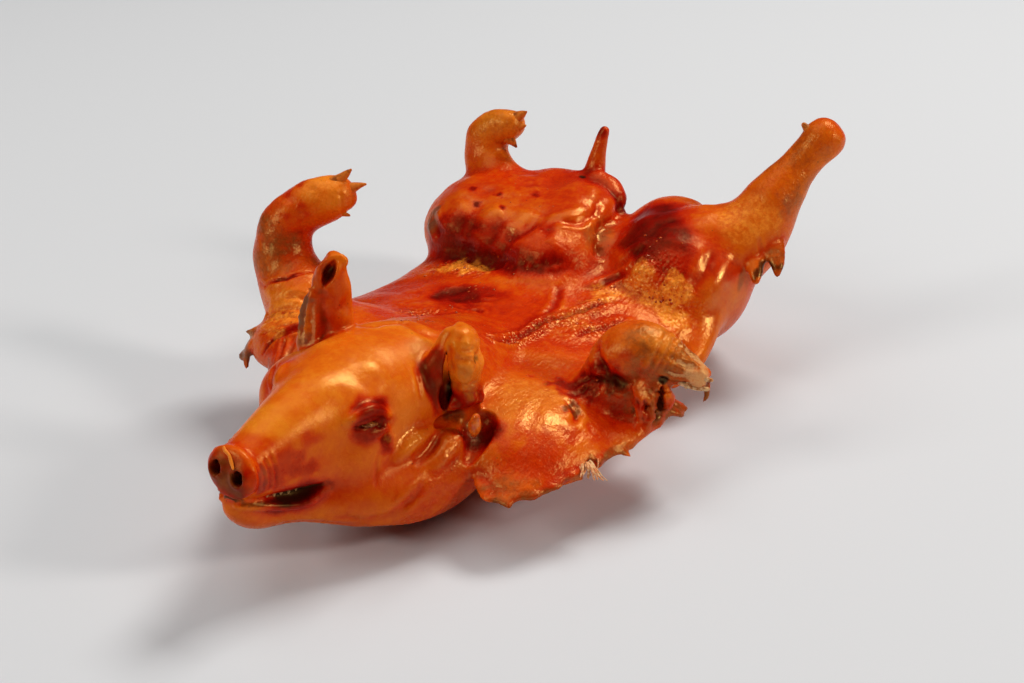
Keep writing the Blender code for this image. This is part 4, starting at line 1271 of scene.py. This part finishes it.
# This mask turns near black both real char and painted shade in holes, slits and gaps.
char = bench.mask("char") + (middling - 0.5) * 0.3 + (fine - 0.5) * 0.3
colour = char.between(0.3, 0.9).mix(colour, tone(52, 14, 5))
specks = bench.cells(7).between(0.12, 0.05) * bench.lumps(20, 2, shift=9).between(0.5, 0.65)
colour = (specks * 0.7).mix(colour, tone(90, 26, 8))
gloss = bench.mask("gloss") * (0.5 + 1.0 * (middling - 0.25)) * roast.between(1.0, 0.55)
pores = bench.lumps(0.7, 2, shift=11)
wrinkles = bench.lumps(1.7, 3, (1.0, 0.25, 0.6), shift=13)
leather = bench.lumps(3.4, 3, shift=15)
relief = (leather * bench.mask("grain")).bump(0.8)
relief = (wrinkles * bench.mask("grain")).bump(0.5, relief)
relief = pores.bump(0.12, relief)
bubbles = bench.cells(3.0) * bench.mask("bubbly")
relief = bubbles.bump(1.6, relief)
dullness = 0.34 - 0.16 * gloss + 0.2 * (middling - 0.5)
feed(Base_Color=colour, Roughness=dullness, Normal=relief)
glaze = bench.add("ShaderNodeBsdfGlossy", {}, {"Color": (1.0, 0.7, 0.25, 1.0),
                                               "Roughness": dullness, "Normal": relief})
body = Wire(bench.tree, bench.tree.nodes["Principled BSDF"].outputs["BSDF"])
glazed = bench.add("ShaderNodeMixShader", {}, {0: 0.01 + 0.17 * gloss ** 2, 1: body, 2: glaze})
bench.tree.links.new(glazed.socket, bench.tree.nodes["Material Output"].inputs["Surface"])


# ---- Claws ------------------------------------------------------------------------------
# Split hooves of the right front and right hind foot and the left hind dewclaw: hard horn,
# cooked through, with pale sides and browned tips.

CLAWS = {
    "right_front_claws": [[(-146, -35, 170, 5.5), (-141, -31, 174, 4), (-137, -29, 178, 2.6),
                           (-134, -28, 181, 1)],
                          [(-139, -30, 163, 6), (-134, -27, 166, 4.4), (-129, -24, 168, 2.4),
                           (-125, -22, 169, 1)],
                          [(-146, -40, 149, 5), (-140, -36, 147, 3), (-134, -33, 145, 1)]],
    "right_hind_claws": [[(-112, 190, 167, 7), (-108, 190, 170, 5), (-104, 190, 173, 3),
                          (-101, 190, 175, 1)],
                         [(-110, 188, 161, 6), (-106, 188, 161, 4), (-101, 188, 163, 1.2)],
                         [(-116, 185, 150, 6), (-112, 185, 147, 3.6), (-109, 186, 143, 1.2)]],
    "left_hind_dewclaw": [[(160, 206, 190, 6), (154, 205, 193, 5), (148, 205, 198, 2.2)]],
}


def join_tubes(name, paths, up=UP):
    bm = bmesh.new()
    for path in paths:
        tube(bm, path, up=up)
    made = mesh_object(name, bm)
    shade_smooth(made)
    return made


for name, paths in CLAWS.items():
    claws = join_tubes(name, paths)
    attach(claws, "root")
    bench, feed = finish(name, claws, {"Subsurface Weight": 0.1, "Subsurface Scale": 0.002})
    growth = bench.lumps(2.0, 3, (1, 1, 0.3))
    blotch = bench.lumps(6, 3, shift=4)
    horn = growth.mix(tone(232, 136, 50), tone(188, 84, 24))
    horn = blotch.between(0.5, 0.7).mix(horn, tone(120, 48, 14))
    feed(Base_Color=horn, Roughness=0.35 + 0.25 * blotch,
         Normal=growth.bump(0.4, bench.lumps(0.8, 2).bump(0.15)))


# ---- Eyes -------------------------------------------------------------------------------
# What the lids leave open: the cooked eye, shrunk and cloudy, wet with juice.  It is flat and
# lies deep between the two lids.

eye_form = bmesh.new()
for side in EYE_SIDES:
    ball(eye_form, (86, 40.0 * side, 5.0), (6.0, 2.6, 1.8), (1, 0.42 * -side, 0.2), place=head)
eyes = mesh_object("eyes", eye_form)
round_eye = eyes.modifiers.new("round", "SUBSURF")
round_eye.levels = 1
settle(eyes)
shade_smooth(eyes)
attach(eyes, "root")
bench, feed = finish("eyes", eyes, {"Coat Weight": 0.25, "Coat Roughness": 0.1})
cloud = bench.lumps(1.6, 3)
white = cloud.between(0.45, 0.68).mix(tone(96, 30, 10), tone(186, 110, 48))
feed(Base_Color=white, Roughness=0.2 + 0.3 * cloud, Normal=cloud.bump(0.5))


# ---- Teeth ------------------------------------------------------------------------------
# Small milk teeth along the upper jaw, yellow-brown, half hidden by the lip.  Each one is a
# short tube that narrows to its tip.

tooth_paths = []
for side in (1, -1):
    for index in range(7):
        ahead = 154 - 5.2 * index
        aside = side * (13 + 1.55 * index)
        length = 4.2 + 1.2 * math.sin(2.4 * index)
        tooth_paths.append([(*local((ahead, aside, -23 - 0.5 * index))[0], 1.7),
                            (*local((ahead, aside, -25 - 0.5 * index))[0], 1.5),
                            (*local((ahead + 1, aside, -25 - 0.5 * index - length))[0], 0.6)])
teeth = join_tubes("teeth", tooth_paths, up=Vector((1, 0, 0)))
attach(teeth, "root")
bench, feed = finish("teeth", teeth, {"Coat Weight": 0.3})
stained = bench.lumps(2.5, 2)
feed(Base_Color=stained.mix(tone(240, 200, 136), tone(166, 88, 36)), Roughness=0.3 + 0.2 * stained,
     Normal=stained.bump(0.2))


# ---- Small loose parts of the skin ------------------------------------------------------
# A strand of gristle on the nose and the glossy bead of fat in the tear behind the jaw, both
# stuck to the skin.

strand_spots = [surface.snap(spot) + np.array((0, -0.6, 0.6)) for spot in
                local((173, -6, 15), (176, -3, 14), (177, 1, 13), (179, 4, 10), (180, 7, 7))]
strand = join_tubes("nose_strand", [[(*spot, width) for spot, width in
                                     zip(strand_spots, (0.8, 1.2, 1.0, 1.2, 0.8))]])
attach(strand, "root")
bench, feed = finish("nose_strand", strand, {"Subsurface Weight": 0.2, "Subsurface Scale": 0.002})
gristle = bench.lumps(1.5, 3)
feed(Base_Color=gristle.mix(tone(240, 150, 50), tone(216, 100, 20)), Roughness=0.3 + 0.2 * gristle,
     Normal=gristle.bump(0.3))

bead = join_tubes("fat_bead", [[(64, -172, 72, 2.6), (65, -173, 76, 4.2), (66, -174, 81, 4.4),
                                (67, -174, 86, 2.8)]], up=Vector((0, 1, 0)))
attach(bead, "root")
bench, feed = finish("fat_bead", bead, {"Subsurface Weight": 0.3, "Subsurface Scale": 0.003,
                                        "Coat Weight": 0.7, "Coat Roughness": 0.06})
glaze = bench.lumps(4, 3)
feed(Base_Color=glaze.between(0.3, 0.7).mix(tone(232, 120, 30), tone(196, 66, 8)),
     Roughness=0.25 + 0.15 * glaze, Normal=glaze.bump(0.6))


# ---- Torn meat and bone -----------------------------------------------------------------
# Pale strands of shoulder meat that hang out under the left flap, and the sawn bone with its
# ring of gristle at the end of the left elbow.

torn = random.Random(9)
strand_paths = []
for index in range(24):
    x, y = 132 + torn.uniform(-6, 7), -137 + torn.uniform(-7, 9)
    heading = math.radians(torn.uniform(-85, 5))
    reach = torn.uniform(4, 11)
    drop = torn.uniform(1, 8)
    width = torn.uniform(0.5, 1.1)
    run = (reach * math.cos(heading), reach * math.sin(heading))
    strand_paths.append([(x - 3, y + 3, 52, width), (x + 0.3 * run[0], y + 0.3 * run[1], 51, width),
                         (x + 0.7 * run[0], y + 0.6 * run[1] + torn.uniform(-1, 1), 50 - 0.5 * drop,
                          width * 0.8),
                         (x + run[0], y + run[1], 50 - drop, width * 0.4)])
strands = join_tubes("meat_strands", strand_paths)
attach(strands, "root")
bench, feed = finish("meat_strands", strands, {"Subsurface Weight": 0.2, "Subsurface Scale": 0.002})
fibre = bench.lumps(1.4, 3, (0.3, 0.3, 1))
feed(Base_Color=fibre.between(0.3, 0.7).mix(tone(244, 200, 160), tone(206, 128, 84)),
     Roughness=0.4 + 0.2 * fibre, Normal=fibre.bump(0.4))

ring_spots = []
for step in range(13):
    turn = 2 * math.pi * step / 12
    ring_spots.append((167 + 1.6 * math.sin(turn), -50 + 4.4 * math.cos(turn),
                       83 + 3.6 * math.sin(turn), 1.5 + 0.3 * math.sin(3 * turn)))
bone_paths = [ring_spots,
              [(158, -54, 92, 2.6), (168, -52, 90, 2.4), (177, -49, 88, 2.0), (182, -47, 87, 1.4)],
              [(162, -55, 84, 2.2), (172, -52, 81, 2.0), (180, -48, 80, 1.6)]]
bones = join_tubes("elbow_bone", bone_paths)
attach(bones, "root")
bench, feed = finish("elbow_bone", bones, {"Subsurface Weight": 0.15, "Subsurface Scale": 0.002})
marrow = bench.lumps(3, 4)
feed(Base_Color=marrow.between(0.35, 0.65).mix(tone(230, 192, 146), tone(160, 84, 40)),
     Roughness=0.4 + 0.2 * marrow, Normal=bench.lumps(1.0, 3).bump(0.3))


# ---- Drops of fat -----------------------------------------------------------------------
# Beads of basting fat and juice that stand on the skin of the back, clear orange-red.

DROP_PLACES = [((-67, -73, 87), 9, 7), ((-66, -46, 79), 10, 9), ((-9, -119, 118), 7, 8),
               ((-16, -134, 122), 6, 5), ((-45, -19, 79), 9, 10), ((-50, 22, 80), 14, 10),
               ((24, -56, 84), 8, 14), ((30, 0, 78), 8, 14), ((46, 44, 78), 9, 12),
               ((60, 10, 76), 12, 10), ((70, 100, 118), 22, 12), ((-40, 74, 90), 30, 14),
               ((-60, 110, 124), 40, 12), ((44, 70, 86), 12, 12), ((92, 76, 84), 16, 16),
               ((-88, 56, 78), 22, 16), ((60, -168, 76), 9, 8), ((110, -84, 80), 12, 8),
               ((14, 108, 108), 9, 10)]
shake = random.Random(21)
drop_form = bmesh.new()
for middle, scatter, count in DROP_PLACES:
    for number in range(count):
        aim = Vector(middle) + Vector((shake.gauss(0, 0.5), shake.gauss(0, 0.5), 0)) * scatter
        spot, normal = surface.tree.find_nearest(aim)[:2]
        size = 0.5 + 0.9 * shake.random() ** 2
        matrix = (Matrix.Translation(spot) @ normal.to_track_quat("Z", "Y").to_matrix().to_4x4()
                  @ Matrix.Diagonal((size, size * shake.uniform(0.7, 1.3), size * 0.6, 1.0)))
        bmesh.ops.create_icosphere(drop_form, subdivisions=2, radius=1.0, matrix=matrix)
drops = mesh_object("fat_drops", drop_form)
shade_smooth(drops)
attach(drops, "root")
bench, feed = finish("fat_drops", drops, {"Coat Weight": 0.5, "Coat Roughness": 0.04})
amber = bench.lumps(6, 2)
feed(Base_Color=amber.between(0.35, 0.65).mix(tone(206, 80, 14), tone(150, 20, 4)),
     Roughness=0.12 + 0.15 * amber)
